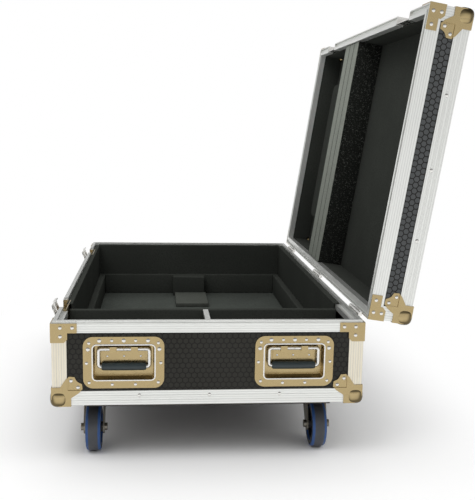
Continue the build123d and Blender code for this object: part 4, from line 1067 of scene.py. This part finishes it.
class CASE_OT_base_foam(bpy.types.Operator):
    """Foam lining, ledges, blocks and dividers of the base"""

    bl_idname = "case.base_foam"
    bl_label = "Base foam"

    def lining(self, name, low, high, lip, axis):
        """A wall sheet whose top edge folds out over the rim's shelf."""
        piece, fold = slab(name, low, high), high[2] - LIP_THICK
        cut(piece, (0, 0, fold), (0, 0, 1))
        move = Vector((0, 0, 0))
        move[axis] = lip
        pick(piece, lambda face: face.normal.dot(move) > 0.9 * abs(lip) and face.calc_center_median().z > fold)
        drawn_out(move)
        return bevelled(piece, 0.0011, 3)

    def execute(self, context):
        s = sizes()
        left, right, _, far = case_sides()
        low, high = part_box("base_lining")
        bay, floor_top = low.y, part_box("ledge_foam")[0].z
        back, lip = 0.0032, 0.0098
        faces = left + s.skin, right - s.skin, far - s.skin
        sheets = (
            ("lining_left", (faces[0] - back, bay), (faces[0], faces[2]), -lip, 0),
            ("lining_right", (faces[1], bay), (faces[1] + back, faces[2]), lip, 0),
            ("lining_far", (faces[0] - back, faces[2]), (faces[1] + back, faces[2] + back), lip, 1),
        )
        for name, a, b, fold, axis in sheets:
            sheet = self.lining(name, (*a, floor_top), (*b, high.z), fold, axis)
            cushioned(sheet, "charcoal_foam", "charcoal_foam", BODY_BASE, "base_lining")
        start, end = (faces[0] - back, bay, low.z), (faces[1] + back, faces[2] + back, floor_top)
        floor = foam_sheet("lining_floor", start, end)
        cushioned(floor, "floor_foam", "charcoal_foam", BODY_BASE, "base_lining")
        self.ledges()
        self.blocks()
        self.dividers()
        return {"FINISHED"}

    def ledges(self):
        """Three foam battens round the bay floor, butted at the corners."""
        low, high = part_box("ledge_foam")
        inner, outer = low.x + BATTEN, high.x - BATTEN
        spans = {
            "ledge_left": (low, (inner, high.y, high.z)),
            "ledge_right": ((outer, low.y, low.z), high),
            "ledge_far": ((inner + BUTT, high.y - BATTEN, low.z), (outer - BUTT, high.y, high.z)),
        }
        for name, (start, end) in spans.items():
            piece = foam_sheet(name, start, end, 0.002, 24, 0 if name == "ledge_far" else 1)
            cushioned(pressed(piece, 0.0008, 0.035), "charcoal_foam", "charcoal_foam", BODY_BASE, "ledge_foam")

    def blocks(self):
        """The upright block at the far wall with its two finger slits, and the flat grey block before it."""
        low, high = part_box("foam_blocks")
        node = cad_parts["foam_blocks"]
        flat_top = min(v.co.z for v in node.data.vertices if v.co.z > low.z + 0.002)
        tall = [v.co for v in node.data.vertices if v.co.z > flat_top + 0.01]
        flat = [v.co for v in node.data.vertices if abs(v.co.z - flat_top) < 0.001]
        block_low = Vector((min(p.x for p in tall), min(p.y for p in tall), low.z))
        block = foam_sheet("upright_block", block_low, (max(p.x for p in tall), high.y, high.z), 0.002, 10, 0)

        def slit(face):
            middle = face.calc_center_median()
            return face.normal.y < -0.9 and middle.z > low.z and abs(middle.x - spot) < 0.006

        for spot in (block_low.x + 0.012, high.x - 0.022):
            edit(block)
            pick(block, slit)
            bpy.ops.mesh.inset(thickness=0.001)
            clear()
        cushioned(pressed(block, 0.0008, 0.03), "charcoal_foam", "charcoal_foam", BODY_BASE, "foam_blocks")
        start = (min(p.x for p in flat), min(p.y for p in flat), low.z)
        end = (max(p.x for p in flat), max(p.y for p in flat), flat_top)
        rest = foam_sheet("flat_block", start, end, 0.0018, 16, 1)
        cushioned(pressed(rest, 0.0006, 0.03), "grey_foam", "grey_foam", BODY_BASE, "foam_blocks")

    def dividers(self):
        """Foam-faced boards between the bays."""
        left, right, near, _ = case_sides()
        low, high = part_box("long_divider")
        start, end = (left + 0.0178, low.y, low.z), (right - 0.0203, high.y, high.z)
        board = pressed(foam_sheet("divider_board", start, end, 0.003, 30, 0), 0.0007, 0.04)
        cushioned(board, "charcoal_foam", "charcoal_foam", BODY_BASE, "long_divider")
        low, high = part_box("short_divider")
        board = foam_sheet("cross_board", (low.x, near + 0.0205, low.z), high, 0.001)
        cushioned(board, "charcoal_foam", "charcoal_foam", BODY_BASE, "short_divider")


class CASE_OT_lid_foam(bpy.types.Operator):
    """Foam lining, rib and pad of the lid"""

    bl_idname = "case.lid_foam"
    bl_label = "Lid foam"

    def place(self, piece, finish, slot_name, node):
        """Turn a piece drawn in the shut lid into the open one and dress it."""
        piece.matrix_world = lid_turn()
        cushioned(settle(piece, piece.name), finish, slot_name, BODY_LID, node)

    def rib(self):
        """The thick rib: three stripes towards the base, two grooves between them."""
        left, right, near, _ = case_sides()
        low, _, ceiling = lid_heights()
        s, face_y, half = sizes(), near + RIB_FROM, RIB_GROOVE / 2
        start = (left + s.lid_skin + BUTT, face_y, low + RIB_GROOVE)
        end = (right - s.lid_skin - BUTT, face_y + RIB_THICK, ceiling - UNDER_SHEET)
        piece = slab("lid_rib_foam", start, end)
        for spot in (face_y + RIB_THICK / 3, face_y + RIB_THICK * 2 / 3):
            for side in (-half, half):
                cut(piece, (0, spot + side, 0), (0, 1, 0))
            pick(piece, lambda face: face.normal.z < -0.9 and abs(face.calc_center_median().y - spot) < half)
            drawn_out((0, 0, RIB_GROOVE))
            clear()
        return bevelled(piece, 0.0012, 2)

    def pad(self):
        """The pad with rounded ends."""
        left, right, _, far = case_sides()
        _, _, ceiling = lid_heights()
        across = far - sizes().lid_skin - 0.060 - PAD[1] / 2
        clear()
        bpy.ops.mesh.primitive_cube_add(
            size=1.0, location=((left + right) / 2, across, ceiling - UNDER_SHEET - PAD[2] / 2), scale=PAD
        )
        piece = settle(bpy.context.object, "lid_pad_foam")
        edit(piece, kind="EDGE")
        pick(piece, lambda edge: abs((edge.verts[0].co - edge.verts[1].co).normalized().z) > 0.9, "edges")
        bpy.ops.mesh.bevel(offset=PAD_ROUND, segments=8, affect="EDGES")
        clear()
        return bevelled(piece, 0.003, 3)

    def execute(self, context):
        left, right, near, far = case_sides()
        low, _, ceiling = lid_heights()
        s = sizes()
        side, skin, start = s.wall + s.board, s.lid_skin, low + 0.0163
        under = ceiling - (skin - side)
        sheets = (
            ("top", left + side, near + side, under, right - side, far - side, ceiling),
            ("near", left + side, near + side, start, right - side, near + skin, under),
            ("far", left + side, far - skin, start, right - side, far - side, under),
            ("hinge", right - skin, near + skin, start, right - side, far - skin, under),
            ("catch", left + 0.0178, near + skin, start, left + skin, far - skin, under),
        )
        for name, *ends in sheets:
            sheet = foam_sheet(f"lid_sheet_{name}", ends[:3], ends[3:], 0.0012)
            self.place(sheet, "charcoal_foam", "charcoal_foam", "lid_lining")
        self.place(self.rib(), "rib_foam", "grey_foam", "lid_rib")
        self.place(self.pad(), "charcoal_foam", "grey_foam", "lid_pad")
        return {"FINISHED"}


class CASE_OT_casters(bpy.types.Operator):
    """Tyres with a worn running face, and the finish of forks, plates and wheels"""

    bl_idname = "case.casters"
    bl_label = "Casters"

    def tyre(self, number):
        """A tyre: its half section spun about the axle."""
        low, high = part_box(f"caster_tyre_{number}")
        middle = (low + high) / 2
        h = hardware()
        half, inner = h.tyre_w / 2, h.wheel - h.tyre_t
        crown = ((-1.0, 0.006), (-0.93, 0.0028), (-0.78, 0.0011), (-0.55, 0.0003), (-0.25, 0.0), (0.0, 0.0))
        section = [(-0.94, inner), (-1.0, inner + 0.002)] + [(u, h.wheel - down) for u, down in crown]
        section += [(-u, r) for u, r in reversed(section[:-1])]
        clear()
        bpy.ops.mesh.primitive_circle_add(
            vertices=len(section), radius=0.01, fill_type="NOTHING", location=(0, 0, 0)
        )
        piece = settle(bpy.context.object, f"tyre_{number}")
        for vertex, (u, r) in zip(piece.data.vertices, section):
            vertex.co = (middle.x + u * half, middle.y, middle.z + r)
        edit(piece, "SELECT", "VERT")
        bpy.ops.mesh.spin(steps=72, angle=2 * math.pi, center=middle, axis=(1, 0, 0), dupli=False)
        bpy.ops.mesh.select_all(action="SELECT")
        bpy.ops.mesh.remove_doubles(threshold=0.00001)
        bpy.ops.mesh.normals_make_consistent(inside=False)
        clear()
        across = piece.data.attributes.new("across", "FLOAT", "POINT")
        for vertex in piece.data.vertices:
            across.data[vertex.index].value = abs(vertex.co.x - middle.x) / half
        return smoothed(piece, SMOOTH_ANGLE)

    def execute(self, context):
        for number in range(1, COUNT + 1):
            paint(finish_for("caster_steel"), f"caster_fork_{number}")
            paint(finish_for("nylon"), f"caster_wheel_{number}")
            tyre, body, node = self.tyre(number), f"wheel_{number}", f"caster_tyre_{number}"
            dressed(tyre, finish_for("tyre_rubber"), "blue_tyre", body, node)
        paint(finish_for("caster_steel"), "caster_plates")
        return {"FINISHED"}


class CASE_OT_stage(bpy.types.Operator):
    """White floor, soft studio light and the photograph's camera"""

    bl_idname = "case.stage"
    bl_label = "Stage"

    def floor(self):
        clear()
        bpy.ops.mesh.primitive_grid_add(x_subdivisions=4, y_subdivisions=4, size=40.0, location=(0, 0, 0))
        piece = settle(bpy.context.object, "studio_floor")
        material, tree, shader, place = new_material("studio_floor")
        shader.inputs["Base Color"].default_value = (*colours().stage, 1.0)
        shader.inputs["Roughness"].default_value = 0.9
        shader.inputs["Specular IOR Level"].default_value = 0.0
        s = sizes()
        centred = vector(tree, "SUBTRACT", place.outputs["Object"], (s.centre_x, 0.0, 0.0))
        beyond = vector(tree, "SUBTRACT", vector(tree, "ABSOLUTE", centred), (s.width / 2, s.length / 2, 0.0))
        away = measure(tree, "LENGTH", vector(tree, "MAXIMUM", beyond, (0.0, 0.0, 0.0)))
        path = tree.nodes.new("ShaderNodeLightPath")
        far = calc(tree, "MULTIPLY", eased(tree, away, 0.04, 0.42), path.outputs["Is Camera Ray"])
        white = put(tree, "ShaderNodeEmission", {"Color": (*colours().stage, 1.0), "Strength": 1.0})
        blend = put(tree, "ShaderNodeMixShader", {0: far, 1: shader.outputs[0], 2: white.outputs[0]})
        out = next(node for node in tree.nodes if node.type == "OUTPUT_MATERIAL")
        tree.links.new(blend.outputs[0], out.inputs[0])
        piece.data.materials.append(material)

    def lights(self):
        world = bpy.data.worlds.new("studio")
        bpy.context.scene.world = world
        world.use_nodes = True
        tree = world.node_tree
        tree.nodes.clear()
        path = tree.nodes.new("ShaderNodeLightPath")
        place = tree.nodes.new("ShaderNodeTexCoord")
        height = put(tree, "ShaderNodeSeparateXYZ", {0: place.outputs["Generated"]}).outputs[2]
        glow = eased(tree, height, 0.02, 0.55, 1.0, 0.22)
        soft = calc(tree, "ADD", calc(tree, "MULTIPLY", calc(tree, "MAXIMUM", height, 0.0), 1.20), 0.05)
        more = calc(tree, "MULTIPLY", path.outputs["Is Glossy Ray"], calc(tree, "SUBTRACT", glow, soft))
        plain = calc(tree, "ADD", more, soft)
        level = calc(tree, "MAXIMUM", plain, path.outputs["Is Camera Ray"])
        light = put(tree, "ShaderNodeBackground", {"Color": (1.0, 1.0, 1.0, 1.0), "Strength": level})
        out = tree.nodes.new("ShaderNodeOutputWorld")
        tree.links.new(light.outputs[0], out.inputs[0])
        lamps = (
            ("key_light", (-1.4, -1.9, 3.2), 1.6, 26.0),
            ("fill_light", (2.2, -1.4, 2.4), 1.8, 10.0),
            ("back_light", (0.2, 2.6, 2.4), 2.0, 14.0),
        )
        for name, place, across, power in lamps:
            lamp = bpy.data.lights.new(name, "AREA")
            lamp.shape, lamp.size, lamp.energy = "SQUARE", across, power
            holder = bpy.data.objects.new(name, lamp)
            holder.location = place
            holder.visible_glossy = False
            holder.rotation_euler = (Vector((0, 0, 0.3)) - Vector(place)).to_track_quat("-Z", "Y").to_euler()
            bpy.context.scene.collection.objects.link(holder)

    def camera(self):
        """Placed by a fit of the case's corners, with the photograph's frame of 475 by 500."""
        yaw, pitch, roll = -0.099, 0.172, 0.020
        ahead = Vector((-math.sin(yaw) * math.cos(pitch), math.cos(yaw) * math.cos(pitch), -math.sin(pitch)))
        right = Vector((math.cos(yaw), math.sin(yaw), 0.0))
        up = right.cross(ahead)
        side = right * math.cos(roll) + up * math.sin(roll)
        top = up * math.cos(roll) - right * math.sin(roll)
        lens = bpy.data.cameras.new("photo_camera")
        lens.sensor_fit = "HORIZONTAL"
        lens.sensor_width = 36.0
        lens.lens = 826.5 * 36.0 / PHOTO_WIDE
        lens.shift_y = 16.0 / PHOTO_WIDE
        lens.clip_end = 60.0
        camera = bpy.data.objects.new("photo_camera", lens)
        bpy.context.scene.collection.objects.link(camera)
        turn = Matrix((side, top, -ahead)).transposed().to_4x4()
        camera.matrix_world = Matrix.Translation((-0.1979, -2.1862, 0.7015)) @ turn
        bpy.context.scene.camera = camera

    def execute(self, context):
        self.floor()
        self.lights()
        self.camera()
        context.scene.view_settings.view_transform = "Standard"
        return {"FINISHED"}


OPERATORS = (
    CASE_OT_groups,
    CASE_OT_boards,
    CASE_OT_extrusions,
    CASE_OT_hardware,
    CASE_OT_balls,
    CASE_OT_rivets,
    CASE_OT_handles,
    CASE_OT_base_foam,
    CASE_OT_lid_foam,
    CASE_OT_casters,
    CASE_OT_stage,
)


class CASE_PT_panel(bpy.types.Panel):
    """Sizes, colours and pieces of the case"""

    bl_idname = "CASE_PT_panel"
    bl_label = "Road Case"
    bl_space_type = "VIEW_3D"
    bl_region_type = "UI"
    bl_category = "Road Case"

    def draw(self, context):
        for group in (context.scene.case_sizes, context.scene.hardware_sizes, context.scene.case_colours):
            box = self.layout.box()
            for name in group.bl_rna.properties.keys():
                if name not in {"rna_type", "name"}:
                    box.prop(group, name)
        for operator in OPERATORS:
            self.layout.operator(operator.bl_idname)


CLASSES = (CaseSizes, HardwareSizes, CaseColours) + OPERATORS + (CASE_PT_panel,)


def register():
    for cls in CLASSES:
        bpy.utils.register_class(cls)
    bpy.types.Scene.case_sizes = bpy.props.PointerProperty(type=CaseSizes)
    bpy.types.Scene.hardware_sizes = bpy.props.PointerProperty(type=HardwareSizes)
    bpy.types.Scene.case_colours = bpy.props.PointerProperty(type=CaseColours)


def unregister():
    del bpy.types.Scene.case_colours
    del bpy.types.Scene.hardware_sizes
    del bpy.types.Scene.case_sizes
    for cls in reversed(CLASSES):
        bpy.utils.unregister_class(cls)


def main():
    """Register the add-on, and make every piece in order."""
    register()
    for operator in OPERATORS:
        getattr(bpy.ops.case, operator.bl_idname.split(".")[1])()
    bpy.context.view_layer.update()


if __name__ == "__main__":
    main()
